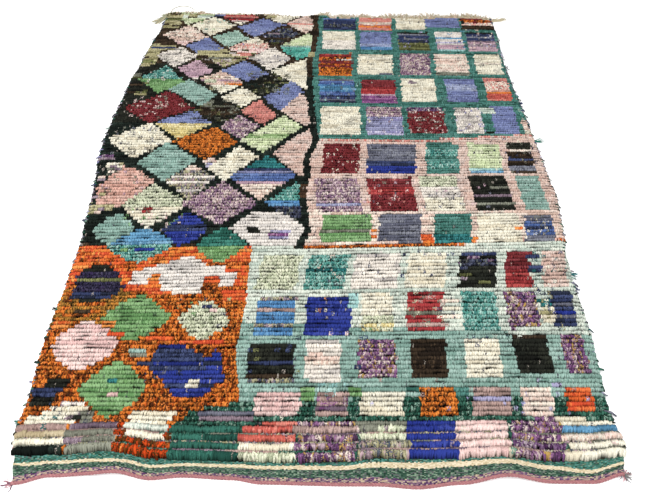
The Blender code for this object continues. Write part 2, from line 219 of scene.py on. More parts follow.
# Lozenge panel: corners clockwise from the left one, and the yarns from the top down
LOZENGES = (
    ((-0.685, 1.155), (-0.60, 1.24), (-0.505, 1.13), (-0.61, 1.047), "pistachio .55 mint .7 pistachio"),
    ((-0.465, 1.120), (-0.385, 1.185), (-0.305, 1.12), (-0.375, 1.053),
     "crimson .46 coral .52 blush .58 burgundy .67 crimson .77 rose .88 cream"),
    ((-0.265, 1.125), (-0.20, 1.18), (-0.13, 1.125), (-0.20, 1.058), "cream"),
    ((-0.59, 1.04), (-0.50, 1.11), (-0.405, 1.045), (-0.505, 0.955), "cream"),
    ((-0.38, 1.02), (-0.28, 1.10), (-0.19, 1.05), (-0.31, 0.945), "periwinkle"),
    ((-0.17, 1.06), (-0.09, 1.13), (-0.02, 1.05), (-0.09, 0.98), "blush .4 coral .5 blush_cream"),
    ((-0.70, 0.955), (-0.60, 1.035), (-0.515, 0.94), (-0.61, 0.87), "blush_cream .8 rose"),
    ((-0.485, 0.935), (-0.395, 0.995), (-0.335, 0.925), (-0.415, 0.86), "pale_seafoam"),
    ((-0.27, 0.945), (-0.185, 1.02), (-0.115, 0.97), (-0.215, 0.88),
     "dark_mix .3 plum_grey .36 dark_mix .6 black_brown .66 black .76 dark_mix .86 olive"),
    ((-0.195, 0.86), (-0.075, 0.97), (0.01, 0.87), (-0.115, 0.76), "pistachio .46 seafoam .56 turquoise"),
    ((-0.59, 0.86), (-0.51, 0.93), (-0.435, 0.84), (-0.525, 0.79), "periwinkle"),
    ((-0.405, 0.845), (-0.305, 0.935), (-0.235, 0.86), (-0.33, 0.765),
     "cream .3 cream_coral .55 rose .75 coral"),
    ((-0.71, 0.785), (-0.61, 0.85), (-0.54, 0.775), (-0.62, 0.70), "ivory"),
    ((-0.50, 0.79), (-0.42, 0.835), (-0.34, 0.75), (-0.42, 0.70), "khaki"),
    ((-0.31, 0.765), (-0.22, 0.85), (-0.145, 0.765), (-0.225, 0.68), "ivory"),
    ((-0.60, 0.68), (-0.53, 0.745), (-0.46, 0.66), (-0.53, 0.61), "mauve"),
    ((-0.42, 0.665), (-0.33, 0.74), (-0.235, 0.65), (-0.305, 0.59), "periwinkle"),
    ((-0.215, 0.665), (-0.08, 0.76), (-0.02, 0.65), (-0.075, 0.54), "cream"),
    ((-0.745, 0.60), (-0.65, 0.70), (-0.565, 0.585), (-0.65, 0.505), "jade_mix .5 leaf"),
    ((-0.50, 0.61), (-0.42, 0.66), (-0.33, 0.585), (-0.40, 0.505),
     "blush_cream .35 mauve .44 blush_cream .66 cream"),
    ((-0.31, 0.58), (-0.21, 0.655), (-0.15, 0.58), (-0.235, 0.49), "black .5 black_green .65 black"),
    ((-0.61, 0.53), (-0.54, 0.595), (-0.425, 0.49), (-0.475, 0.42), "seafoam"),
    ((-0.40, 0.475), (-0.325, 0.54), (-0.255, 0.475), (-0.32, 0.415), "cream"),
    ((-0.235, 0.47), (-0.13, 0.59), (-0.085, 0.52), (-0.165, 0.39), "periwinkle"),
    ((-0.765, 0.395), (-0.61, 0.51), (-0.505, 0.40), (-0.65, 0.305), "burgundy_fleck"),
    ((-0.495, 0.385), (-0.405, 0.46), (-0.315, 0.385), (-0.405, 0.31),
     "black .3 grey .4 black_brown .7 black"),
    ((-0.315, 0.38), (-0.255, 0.455), (-0.185, 0.355), (-0.225, 0.30), "coral"),
    ((-0.16, 0.385), (-0.09, 0.50), (-0.03, 0.41), (-0.065, 0.29), "blush"),
    ((-0.63, 0.30), (-0.495, 0.38), (-0.425, 0.30), (-0.53, 0.205), "periwinkle .46 yellow"),
    ((-0.385, 0.28), (-0.32, 0.35), (-0.245, 0.285), (-0.305, 0.21), "plum"),
    ((-0.30, 0.195), (-0.155, 0.35), (-0.085, 0.28), (-0.215, 0.135),
     "pistachio .55 pale_leaf .62 pistachio"),
    ((-0.78, 0.20), (-0.65, 0.30), (-0.555, 0.195), (-0.68, 0.09), "cream"),
    ((-0.54, 0.19), (-0.405, 0.275), (-0.315, 0.19), (-0.42, 0.085), "orange_marl"),
    ((-0.18, 0.125), (-0.055, 0.27), (0.02, 0.12), (-0.08, 0.0), "blush"),
    ((-0.65, 0.065), (-0.56, 0.18), (-0.45, 0.08), (-0.55, -0.03), "seafoam"),
    ((-0.425, 0.07), (-0.40, 0.095), (-0.37, 0.07), (-0.40, 0.045), "blush .5 lilac"),
    ((-0.395, 0.04), (-0.30, 0.16), (-0.235, 0.105), (-0.335, -0.03), "cream"),
    ((-0.535, -0.03), (-0.455, 0.05), (-0.375, -0.02), (-0.44, -0.13),
     "blush_cream .15 khaki_mix .3 ivory .38 khaki_mix .48 ivory .58 khaki_mix .7 ivory .8 khaki_mix"),
    ((-0.31, -0.01), (-0.195, 0.105), (-0.09, 0.0), (-0.215, -0.125),
     "teal .26 navy .34 lilac_grey .40 denim .58 mauve .68 blush_cream"),
    ((-0.665, -0.16), (-0.57, -0.058), (-0.44, -0.15), (-0.555, -0.27), "mint_cream .55 cream"),
    ((-0.46, -0.15), (-0.34, -0.04), (-0.215, -0.15), (-0.33, -0.25), "plum"),
    ((-0.185, -0.145), (-0.09, -0.04), (0.0, -0.13), (-0.09, -0.225), "jade_mix .5 cobalt .65 dark_mix"),
    ((-0.76, -0.08), (-0.70, 0.04), (-0.655, 0.025), (-0.578, -0.038), (-0.64, -0.13), (-0.68, -0.175),
     (-0.735, -0.165), "peach"),
    ((-0.290, -0.262), (-0.215, -0.187), (-0.140, -0.187), (-0.065, -0.25), (-0.050, -0.285),
     (-0.072, -0.345), (-0.205, -0.345), "white"),
)

# Soft lozenges of the lozenge panel's lower end and the orange panel: middle, half width,
# half height, and the yarns from the top down
BLOBS = (
    (-0.665, -0.278, 0.067, 0.074, "seafoam"),
    (-0.437, -0.274, 0.072, 0.078, "royal .4 navy .6 royal"),
    (-0.563, -0.350, 0.104, 0.078, "sky .52 jade_mix"),
    (-0.313, -0.346, 0.078, 0.080, "forest .52 leaf"),
    (-0.522, -0.645, 0.097, 0.086, "leaf"),
    (-0.327, -0.650, 0.075, 0.076, "mint_cream"),
    (-0.536, -0.888, 0.088, 0.090, "leaf"),
)
BLOB_ROUNDNESS = 1.28

# Straight-sided shapes of the orange panel: corners clockwise from the left, and the yarns from the
# top down
FIGURES = (
    ((-0.722, -0.570), (-0.722, -0.475), (-0.690, -0.445), (-0.645, -0.440), (-0.612, -0.475),
     (-0.583, -0.530), (-0.600, -0.560), (-0.660, -0.592),
     "black .14 night .36 olive .42 night .7 navy .88 black"),
    ((-0.728, -0.755), (-0.728, -0.714), (-0.672, -0.666), (-0.642, -0.666), (-0.568, -0.716),
     (-0.560, -0.750), (-0.572, -0.778), (-0.632, -0.822), (-0.665, -0.822), (-0.715, -0.785), "rose"),
    ((-0.455, -0.81), (-0.432, -0.743), (-0.375, -0.743), (-0.265, -0.81), (-0.258, -0.85),
     (-0.300, -0.905), (-0.37, -0.905),
     "royal .10 navy .2 slate .26 navy .34 royal .46 navy .54 royal .66 navy .72 royal .78 navy .86 royal"),
    ((-0.31, -0.80), (-0.278, -0.762), (-0.258, -0.80), (-0.260, -0.85), "royal .3 navy .5 royal"),
)

# Squares in rows: top and bottom at PANEL_MIDDLE, the row's rise to the right for each metre, lean
# of the sides to the right at the top, and each square's left side, right side and yarns from the
# top down
SQUARES = (
    (1.125, 1.012, 0.030, 0.0, (
        (-0.010, 0.135, "denim .2 navy .5 dark_mix .75 navy"),
        (0.145, 0.290, "coral .3 blush_cream .56 coral .64 orange .78 coral"),
        (0.310, 0.440, "cream"),
        (0.440, 0.590, "periwinkle .85 jade"),
        (0.600, 0.740, "burgundy .3 rust_marl .5 cream_coral .66 black_brown"),
    )),
    (0.995, 0.840, 0.0, 0.0, (
        (-0.012, 0.130, "cream .5 ivory"),
        (0.150, 0.285, "periwinkle .68 pale_periwinkle .82 cobalt"),
        (0.315, 0.445, "black .1 slate .2 navy .40 slate .46 navy .62 olive .74 khaki .79 olive"),
        (0.475, 0.590, "white .3 sky .36 white .56 lilac .66 white .72 mauve .92 aqua"),
        (0.610, 0.730, "black .1 navy .22 slate .3 navy .44 plum_grey .56 mauve .66 plum_grey .8 mauve"),
    )),
    (0.807, 0.645, 0.020, 0.0, (
        (-0.025, 0.110, "crimson .12 rust_marl .3 burgundy .42 rust_marl .54 burgundy .62 orange_marl"),
        (0.135, 0.280, "cream"),
        (0.310, 0.435, "plum"),
        (0.455, 0.590, "blush_cream .88 grey"),
        (0.620, 0.728, "cream .4 blush_cream .5 cream"),
    )),
    (0.615, 0.453, 0.035, 0.0, (
        (-0.020, 0.120, "slate .08 denim .2 cobalt .30 sky .42 cobalt .54 denim .66 navy .8 slate .88 navy"),
        (0.145, 0.280, "burgundy .35 crimson .62 mauve .74 orchid"),
        (0.305, 0.440, "cream"),
        (0.480, 0.600, "periwinkle .25 pale_periwinkle .6 periwinkle"),
        (0.635, 0.730, "coral .15 cream_coral .52 peach .6 orange .68 watermelon"),
    )),
    (0.418, 0.245, 0.020, 0.0, (
        (-0.012, 0.137, "cream"),
        (0.160, 0.295, "plum .35 lilac .5 lilac_grey .85 lilac"),
        (0.315, 0.455, "plum_dark .16 burgundy_fleck"),
        (0.495, 0.595, "ivory"),
        (0.635, 0.725, "periwinkle"),
    )),
    (0.190, 0.014, 0.010, 0.005, (
        (0.000, 0.130, "burgundy_fleck"),
        (0.158, 0.328, "slate .58 navy .78 royal"),
        (0.365, 0.480, "jade .2 jade_mix .45 jade .6 jade_mix .8 jade"),
        (0.515, 0.630, "pistachio .84 aqua .92 sky"),
        (0.655, 0.745,
         "black .2 blush_cream .26 black_brown .5 navy .6 black_brown .74 slate .86 black_brown"),
    )),
    (-0.003, -0.172, 0.030, -0.006, (
        (-0.020, 0.127, "plum .76 lilac_grey .88 plum"),
        (0.158, 0.310, "burgundy .3 crimson .5 burgundy_fleck"),
        (0.335, 0.465, "mint_cream .3 ivory .6 cream"),
        (0.505, 0.632, "black .3 grey .35 black .56 plum_grey .63 black .8 grey .84 black"),
        (0.665, 0.745, "seafoam"),
    )),
    (-0.197, -0.322, 0.030, 0.006, (
        (0.000, 0.158, "leaf .5 grey .6 leaf"),
        (0.183, 0.318, "slate"),
        (0.362, 0.480, "jade .75 teal"),
        (0.500, 0.640, "cream"),
        (0.652, 0.745, "slate .3 denim .5 navy .62 denim .8 slate"),
    )),
    (-0.372, -0.517, 0.035, 0.010, (
        (-0.185, -0.065, "mint_cream"),
        (-0.040, 0.080, "jade_mix .4 teal .5 jade_mix"),
        (0.100, 0.240, "ivory"),
        (0.260, 0.380, "cream"),
        (0.420, 0.532, "navy .12 black .2 dark_mix .45 black"),
        (0.562, 0.643, "burgundy .5 crimson"),
        (0.672, 0.745, "blush"),
    )),
    (-0.537, -0.680, 0.048, 0.003, (
        (-0.180, -0.070, "khaki_mix .12 cobalt .30 taupe .36 cobalt .72 khaki_mix .80 cobalt"),
        (-0.038, 0.090, "royal"),
        (0.120, 0.210, "cream .55 mint_cream .8 yellow .86 mint_cream"),
        (0.250, 0.358, "crimson .46 grey .54 crimson .78 taupe .86 crimson"),
        (0.410, 0.510, "jade_mix"),
        (0.540, 0.630, "plum_bright"),
        (0.670, 0.735, "navy .3 slate .42 navy .55 royal .65 slate .75 navy"),
    )),
    (-0.705, -0.838, 0.045, 0.0, (
        (-0.190, -0.065, "black .5 navy .57 black .76 khaki_mix .82 black_brown .93 khaki_mix"),
        (-0.033, 0.062, "ivory .35 blush_cream .6 ivory"),
        (0.110, 0.212, "plum_bright"),
        (0.252, 0.350, "black_brown"),
        (0.400, 0.495, "cream"),
        (0.535, 0.630, "black_brown .12 black"),
        (0.670, 0.732, "plum_bright"),
    )),
    (-0.875, -0.955, 0.030, 0.004, (
        (-0.165, -0.045, "rose"),
        (0.000, 0.080, "taupe .62 plum_grey .7 taupe"),
        (0.112, 0.225, "cream .55 lilac .65 cream"),
        (0.265, 0.360, "orange_marl"),
        (0.400, 0.500, "taupe .4 lilac .5 taupe .65 plum_grey .75 taupe"),
        (0.530, 0.610, "blush_cream"),
        (0.645, 0.715, "orange_red .3 orange .6 orange_red"),
    )),
)
PANEL_MIDDLE = 0.35

# Bars and small figures over the ground: left, right, top, bottom and yarns from the top down
BARS = (
    # left margin of the lozenge panel
    (-0.80, -0.660, 1.185, 1.150, "black_green .5 olive"),
    (-0.80, -0.645, 1.150, 1.015, "khaki .35 olive .5 khaki .75 black_brown .85 khaki"),
    (-0.80, -0.700, 1.015, 0.960, "black_brown"),
    (-0.80, -0.705, 0.900, 0.868, "black_brown .5 khaki"),
    (-0.80, -0.640, 0.868, 0.825, "khaki .45 navy .7 black_brown .8 khaki"),
    (-0.80, -0.700, 0.825, 0.690, "khaki .6 olive .75 khaki .9 black"),
    (-0.54, -0.370, 0.820, 0.780, "khaki"),
    (-0.49, -0.290, 0.790, 0.765, "khaki .5 grey"),
    (-0.80, -0.740, 0.640, 0.600, "grey .5 olive"),
    (-0.80, -0.740, 0.110, 0.075, "plum_dark .4 black .6 plum_grey"),
    (-0.755, -0.700, 0.060, 0.020, "cream .5 grey"),
    (-0.775, -0.690, -0.165, -0.200, "khaki .25 black_green .5 khaki .75 black_green"),
    (-0.075, -0.045, 0.810, 0.790, "khaki"),
    (-0.505, -0.458, 1.155, 1.120, "periwinkle .6 navy"),
    (-0.270, -0.225, 1.150, 1.110, "khaki"),
    (-0.460, -0.430, 0.440, 0.415, "grey"),
    # figures of the lozenge panel
    (-0.620, -0.575, 1.140, 1.105, "khaki .5 black_brown"),
    (-0.400, -0.335, 0.587, 0.558, "peach .4 orange .7 peach"),
    (-0.480, -0.430, 0.598, 0.572, "mint_cream"),
    (-0.540, -0.515, 0.618, 0.598, "ivory"),
    (-0.586, -0.554, -0.175, -0.205, "crimson"),
    (-0.235, -0.195, -0.265, -0.293, "black"),
    (-0.165, -0.100, -0.276, -0.314, "lilac .4 orchid .6 lilac"),
    (-0.576, -0.516, -0.364, -0.380, "royal"),
    (-0.620, -0.596, -0.362, -0.374, "leaf"),
    # winged white shape of the orange panel, from its top row down
    (-0.437, -0.390, -0.392, -0.410, "white"),
    (-0.462, -0.365, -0.408, -0.428, "white"),
    (-0.500, -0.325, -0.426, -0.446, "white"),
    (-0.535, -0.290, -0.444, -0.464, "white"),
    (-0.565, -0.252, -0.462, -0.507, "white"),
    (-0.556, -0.262, -0.505, -0.518, "white"),
    (-0.465, -0.345, -0.515, -0.536, "white"),
    (-0.440, -0.350, -0.534, -0.554, "ivory"),
    (-0.510, -0.478, -0.474, -0.530, "orange"),
    (-0.345, -0.297, -0.474, -0.530, "orange_red .5 rust_marl"),
    # flecks and lines of the orange panel
    (-0.350, -0.215, -0.420, -0.438, "rust_marl .5 orange_red"),
    (-0.640, -0.560, -0.432, -0.446, "rust_marl"),
    (-0.580, -0.475, -0.530, -0.548, "orange_red .5 rust_marl"),
    (-0.285, -0.215, -0.535, -0.575, "orange_red"),
    (-0.705, -0.655, -0.614, -0.632, "black_brown"),
    (-0.755, -0.705, -0.664, -0.690, "orange"),
    (-0.615, -0.578, -0.654, -0.682, "orange"),
    (-0.340, -0.310, -0.594, -0.606, "black .5 navy"),
    (-0.318, -0.296, -0.606, -0.622, "navy .5 rose"),
    (-0.342, -0.312, -0.850, -0.876, "cream"),
    (-0.548, -0.520, -0.892, -0.910, "rose"),
    (-0.555, -0.530, -0.852, -0.866, "teal"),
    (-0.517, -0.470, -0.760, -0.786, "seafoam .5 grey"),
    (-0.487, -0.445, -0.796, -0.812, "navy"),
    (-0.585, -0.535, -0.696, -0.712, "orange_red"),
    (-0.480, -0.405, -0.704, -0.724, "orange_red"),
    (-0.385, -0.265, -0.716, -0.731, "crimson .4 orange_red"),
    (-0.300, -0.250, -0.890, -0.902, "yellow"),
    # dark patch and striped shapes under the orange panel
    (-0.715, -0.655, -0.862, -0.880, "black"),
    (-0.750, -0.665, -0.880, -0.905, "black .5 navy"),
    (-0.740, -0.680, -0.905, -0.945, "navy .4 black"),
    (-0.655, -0.595, -0.928, -0.945, "ivory"),
    (-0.685, -0.585, -0.944, -0.960, "cream .5 plum_grey"),
    (-0.705, -0.600, -0.958, -0.976, "cream"),
    (-0.605, -0.568, -0.962, -1.005, "grey"),
    (-0.735, -0.610, -0.974, -1.005, "cream .4 slate .5 cream"),
    (-0.635, -0.602, -0.972, -0.988, "black .5 royal"),
    (-0.478, -0.362, -0.948, -0.986, "cream .4 lilac .52 cream"),
    (-0.475, -0.385, -0.984, -1.036, "cream"),
    (-0.300, -0.160, -0.952, -0.990, "slate .35 navy .55 plum_grey .75 green_melange"),
    # gaps between the squares
    (0.040, 0.106, 0.770, 0.757, "white"),
    (0.225, 0.280, 0.655, 0.640, "slate .5 periwinkle"),
    (0.340, 0.372, 0.600, 0.580, "plum_grey"),
    (0.595, 0.650, 0.420, 0.385, "mint"),
    (0.738, 0.800, 0.420, 0.360, "seafoam .4 jade_mix"),
    (0.738, 0.800, 0.345, 0.255, "blush_cream .3 black .4 blush_cream .7 black .8 cream"),
    (0.595, 0.625, 0.268, 0.252, "black"),
    (0.165, 0.182, -0.262, -0.278, "orange"),
    (0.155, 0.172, -0.292, -0.308, "orange"),
    (0.318, 0.356, -0.292, -0.335, "orange_red .5 orange"),
    (0.482, 0.502, -0.292, -0.304, "orange"),
    (0.612, 0.640, -0.252, -0.264, "orange"),
    (0.560, 0.600, -0.180, -0.190, "orange"),
    (0.628, 0.672, -0.375, -0.400, "navy .5 mint"),
    (0.628, 0.676, -0.420, -0.470, "navy .2 mint .4 navy .6 mint .8 navy"),
    (0.634, 0.672, -0.560, -0.640, "teal .25 navy .4 cream .6 khaki .75 cream"),
    (0.350, 0.405, -0.556, -0.640, "blush_cream .25 mint .4 cream .6 mint .8 blush_cream"),
    (0.085, 0.115, -0.535, -0.600, "aqua"),
    (0.092, 0.112, -0.795, -0.812, "navy"),
    (-0.045, -0.008, -0.882, -0.915, "leaf"),
    (0.080, 0.112, -0.868, -0.896, "leaf"),
    (0.232, 0.266, -0.866, -0.892, "jade"),
    (0.360, 0.398, -0.870, -0.900, "jade"),
    (0.615, 0.640, -0.850, -0.866, "lilac"),
)

# Coarse rows before the flat-woven end
FRONT_BAND = (
    # left, right, yarns from the top down
    (-0.800, -0.620, "taupe .25 tan .45 cream .7 black_green .85 green_melange"),
    (-0.620, -0.497, "plum_grey .25 grey .5 plum_grey .6 grey"),
    (-0.497, -0.476, "shag"),
    (-0.476, -0.374, "mint .08 cream .42 shag"),
    (-0.374, -0.362, "shag"),
    (-0.362, -0.190, "deep_green .25 taupe .3 deep_green"),
    (-0.190, -0.048, "watermelon .25 taupe .3 watermelon .5 cream .8 mint_cream"),
    (-0.048, 0.100, "plum_bright .25 taupe .3 plum_bright"),
    (0.100, 0.228, "grey .25 mint_cream .5 green_melange .55 khaki_mix"),
    (0.228, 0.352, "royal .5 taupe .54 royal"),
    (0.352, 0.480, "rose"),
    (0.480, 0.612, "plum_bright .6 plum_dark .75 plum_bright"),
    (0.612, 0.800, "cream .25 sky .32 blush_cream .5 cream"),
)

# Yarns spun from ends of several colours
MARLS = (
    "plum", "plum_bright", "plum_dark", "orange_marl", "rust_marl", "shag", "green_melange",
    "mint_cream", "dark_mix", "jade_mix", "khaki_mix", "cream_coral", "burgundy_fleck", "night",
    "ochre_marl",
)

# Places where ends of other yarns are mixed in: left, right, top, bottom, their share, the length of
# a run of them, and the yarns
FLECKS = (
    (-0.71, -0.56, 0.84, 0.72, 0.14, 0.010, "grey black_brown"),
    (-0.76, -0.58, 0.27, 0.11, 0.22, 0.008, "grey black_brown slate"),
    (-0.75, -0.60, 0.02, -0.15, 0.14, 0.010, "black_brown mauve grey"),
    (-0.68, -0.55, 1.01, 0.90, 0.10, 0.010, "black_brown grey"),
    (-0.60, -0.42, 1.09, 0.98, 0.07, 0.010, "leaf khaki"),
    (-0.72, -0.52, 0.425, 0.405, 0.45, 0.010, "rose blush_cream"),
    (-0.74, -0.60, 0.48, 0.33, 0.26, 0.012, "rose grey rose"),
    (-0.71, -0.62, 0.67, 0.58, 0.20, 0.010, "ivory black"),
    (-0.52, -0.37, 0.76, 0.69, 0.40, 0.010, "ivory black_brown mauve"),
    (-0.48, -0.38, 0.86, 0.77, 0.16, 0.010, "black_brown khaki"),
    (-0.80, -0.70, 1.00, 0.48, 0.18, 0.050, "olive black_brown khaki"),
    (-0.80, -0.66, 1.17, 1.00, 0.25, 0.060, "olive black_brown"),
    (-0.50, -0.30, 0.46, 0.31, 0.34, 0.016, "olive grey black_brown"),
    (-0.32, -0.14, 0.66, 0.50, 0.30, 0.016, "olive black_brown grey"),
    (-0.55, -0.29, 0.83, 0.75, 0.18, 0.030, "blush_cream olive ivory black_brown"),
    (-0.47, -0.35, 0.64, 0.52, 0.16, 0.012, "mint_cream khaki blush_cream"),
    (-0.36, -0.14, 1.02, 0.88, 0.10, 0.010, "grey lilac"),
    (-0.80, -0.70, 0.12, -0.20, 0.16, 0.025, "blush_cream plum_grey khaki"),
    (-0.35, -0.25, 0.91, 0.85, 0.30, 0.010, "coral cream"),
    (-0.56, -0.42, 1.11, 0.98, 0.05, 0.010, "seafoam"),
    (-0.31, -0.15, 0.80, 0.73, 0.07, 0.010, "slate"),
    (-0.43, -0.36, 0.08, 0.05, 0.30, 0.010, "cream"),
    (-0.66, -0.45, -0.17, -0.26, 0.20, 0.010, "rose leaf grey"),
    (-0.41, -0.25, -0.57, -0.70, 0.08, 0.010, "leaf slate black"),
    (-0.38, -0.28, -0.53, -0.57, 0.20, 0.010, "ivory black"),
    (-0.46, -0.36, -0.80, -0.85, 0.25, 0.010, "slate navy"),
    (-0.71, -0.58, -0.93, -1.01, 0.10, 0.010, "navy teal plum_grey"),
    (-0.02, 0.07, -0.39, -0.53, 0.22, 0.012, "slate blush_cream black"),
    (0.15, 0.45, -0.360, -0.390, 0.16, 0.008, "navy slate white"),
    (0.10, 0.40, -0.43, -0.49, 0.05, 0.010, "navy slate"),
    (0.33, 0.40, -0.54, -0.68, 0.30, 0.014, "cream cream crimson slate"),
    (0.42, 0.53, -0.38, -0.50, 0.14, 0.035, "plum_dark olive"),
    (0.63, 0.76, -0.36, -0.53, 0.20, 0.010, "navy cream mint teal"),
    (0.55, 0.70, -0.51, -0.58, 0.24, 0.010, "tan navy"),
    (0.62, 0.69, -0.53, -0.68, 0.35, 0.010, "khaki cream navy"),
    (-0.02, 0.05, -0.56, -0.66, 0.06, 0.009, "orange cream"),
    (0.10, 0.21, -0.655, -0.69, 0.35, 0.010, "yellow mint leaf"),
    (0.03, 0.10, -0.69, -0.715, 0.25, 0.009, "black rose"),
    (0.38, 0.58, -0.675, -0.70, 0.14, 0.009, "black navy mint"),
    (0.40, 0.46, -0.705, -0.74, 0.35, 0.010, "slate black"),
    (0.11, 0.16, -0.70, -0.75, 0.45, 0.010, "navy"),
    (0.32, 0.46, 0.42, 0.25, 0.30, 0.009, "rose ivory grey"),
    (0.16, 0.30, 0.36, 0.24, 0.10, 0.008, "cream plum_grey"),
    (0.49, 0.60, 0.42, 0.26, 0.18, 0.010, "lilac plum_grey"),
    (0.65, 0.75, -0.19, -0.32, 0.34, 0.010, "grey slate cream"),
    (0.34, 0.47, -0.03, -0.16, 0.14, 0.010, "black_brown slate"),
    (0.00, 0.13, 0.19, 0.02, 0.07, 0.008, "rose cream"),
    (0.15, 0.32, -0.01, -0.17, 0.16, 0.010, "rose coral grey"),
    (0.24, 0.37, -0.53, -0.67, 0.36, 0.014, "grey mint_cream taupe"),
    (0.00, 0.08, -0.86, -0.90, 0.35, 0.010, "aqua"),
    (0.00, 0.08, -0.91, -0.95, 0.40, 0.014, "orchid plum_dark"),
    (0.15, 0.29, 1.12, 1.01, 0.30, 0.014, "cream coral orange"),
    (0.60, 0.74, 1.13, 1.04, 0.30, 0.020, "burgundy black_green"),
    (0.60, 0.76, 0.23, -0.02, 0.12, 0.010, "navy cream grey"),
    (-0.05, 0.60, -0.01, -0.16, 0.05, 0.010, "mauve slate"),
    (0.30, 0.45, 1.01, 0.85, 0.10, 0.010, "olive grey lilac"),
    (0.60, 0.74, 1.02, 0.86, 0.12, 0.010, "lilac blush_cream"),
    (0.45, 0.61, 1.01, 0.86, 0.08, 0.010, "sky slate"),
    (0.00, 0.14, 0.62, 0.45, 0.10, 0.010, "slate aqua grey"),
    (-0.02, 0.12, 0.81, 0.65, 0.34, 0.013, "burgundy orange brown"),
    (-0.20, -0.05, -0.70, -0.84, 0.04, 0.015, "olive navy"),
    (0.10, 0.76, -0.84, -0.95, 0.05, 0.010, "taupe lilac"),
    (0.60, 0.76, -0.96, -1.06, 0.07, 0.015, "sky rose leaf"),
    (-0.20, 0.60, -0.97, -1.09, 0.04, 0.012, "cream plum_grey"),
)

# The longest end of another yarn that is one ply only
SHORT_END = 0.016

# Yarns of the bare wefts between the coarse rows
BARE_WEFTS = ("taupe", "khaki_mix", "taupe", "plum_grey", "green_melange", "grey")

# Long yarn ends past the sides, and the yarns of the small ones
LONG_LOCKS = (
    # side, place along the rug, reach past the rim, yarn
    (1, 0.222, 0.034, "forest"),
    (1, -0.470, 0.020, "teal"),
    (1, -0.525, 0.013, "navy"),
    (1, 0.470, 0.012, "navy"),
    (-1, -0.200, 0.013, "navy"),
    (-1, -0.580, 0.013, "black_green"),
    (-1, -0.975, 0.012, "forest"),
)

LOOP_YARNS = ("slate", "navy", "plum_grey", "green_melange", "black", "slate", "lilac", "teal")

# Back edge and its warp ends
FRINGE_LENGTHS = (
    # across the rug, length of the warp ends
    (-0.720, 0.016),
    (-0.640, 0.024),
    (-0.585, 0.040),
    (-0.520, 0.016),
    (-0.440, 0.026),
    (-0.330, 0.018),
    (-0.210, 0.030),
    (-0.140, 0.020),
    (-0.060, 0.016),
    (0.010, 0.058),
    (0.070, 0.052),
    (0.160, 0.058),
    (0.225, 0.030),
    (0.305, 0.078),
    (0.385, 0.070),
    (0.420, 0.046),
    (0.460, 0.082),
    (0.520, 0.044),
    (0.600, 0.066),
    (0.680, 0.066),
    (0.740, 0.040),
)
BACK_LINE = (
    # across the rug, where its pile ends
    (-0.76, 1.160),
    (-0.68, 1.163),
    (-0.50, 1.150),
    (-0.30, 1.149),
    (-0.15, 1.133),
    (-0.08, 1.135),
    (-0.045, 1.150),
    (-0.005, 1.148),
    (0.02, 1.124),
    (0.20, 1.126),
    (0.35, 1.118),
    (0.50, 1.126),
    (0.65, 1.133),
    (0.72, 1.118),
    (0.76, 1.112),
)
CORNER_BUNCHES = (
    # corner, heading in degrees from +X, length, number of ends, spread of their headings
    ("left", 236.0, 0.098, 58, 8.0),
    ("left", 175.0, 0.034, 18, 30.0),
    ("right", 24.0, 0.080, 34, 9.0),
    ("right", 70.0, 0.035, 14, 25.0),
)
FRINGE_HUES = "CDBFA2 C2B394 D9CFB8 AFA587 CDBFA2 D8B7A6 BDB59A"
CORNER_HUES = {
    "left": "A8A88C 9A9C80 C2B394 8F9078",
    "right": "CDBFA2 BDB08F D9CFB8 AFA587",
}
LOOSE_WARP = (
    # across and along the rug
    (-0.706, 1.146),
    (-0.708, 1.205),
    (-0.690, 1.232),
    (-0.662, 1.243),
    (-0.630, 1.232),
    (-0.606, 1.207),
)

# Ends of the edge cord
TASSELS = (
    # piece, end of the front edge, headings of its bunches in degrees from +X, hues
    ("corner_tassel_left", 0, (152.0, 180.0, 206.0, 232.0), "B97F86 8A6C78 5E4A58"),
    ("corner_tassel_right", 1, (64.0, 30.0, 0.0, -30.0, -58.0, -88.0), "C48A90 B07880 8D8A84 6E6E72"),
)

# Grounds of the panels: where along the rug they change
BLACK_FROM = 0.30
BROWN_FROM = 0.72
CREAM_TOP = -0.170
SEAFOAM_TOP = -0.663
MELANGE_TOP = -0.902
ORANGE_MARL_TOP = -0.535
OCHRE_BOTTOM = -0.68
BAND_TOP = (
    # across the rug, upper side of the coarse rows before the flat-woven end
    (-0.76, -1.003),
    (-0.36, -1.003),
    (-0.20, -0.990),
    (0.00, -0.980),
    (0.30, -0.966),
    (0.76, -0.960),
)
BAND_BOTTOM = -1.085
BLUSH_TOP = (
    # across the rug, upper side of the blush panel
    (-0.06, 0.216),
    (0.35, 0.214),
    (0.50, 0.222),
    (0.60, 0.236),
    (0.76, 0.250),
)

BORDER = (
    # along the rug, middle of the dark band between the panels
    (-0.33, -0.065),
    (-0.28, -0.045),
    (-0.20, -0.055),
    (-0.08, -0.065),
    (0.00, -0.055),
    (0.10, -0.055),
    (0.15, -0.040),
    (0.20, -0.030),
    (0.30, -0.038),
    (0.40, -0.050),
    (0.50, -0.055),
    (0.60, -0.060),
    (0.75, -0.065),
    (0.85, -0.050),
    (0.90, -0.048),
    (1.00, -0.043),
    (1.10, -0.048),
)
BORDER_HALF = 0.0125

PANEL_FOOT = (
    # across the rug, lower end of the lozenge and blush panels
    (-0.76, -0.358),
    (-0.28, -0.355),
    (-0.05, -0.352),
    (0.10, -0.347),
    (0.30, -0.338),
    (0.76, -0.316),
)
ORANGE_SIDE = (
    # along the rug, right side of the orange panel
    (-1.09, -0.362),
    (-1.00, -0.360),
    (-0.96, -0.330),
    (-0.92, -0.205),
    (-0.75, -0.225),
    (-0.60, -0.215),
    (-0.36, -0.215),
)


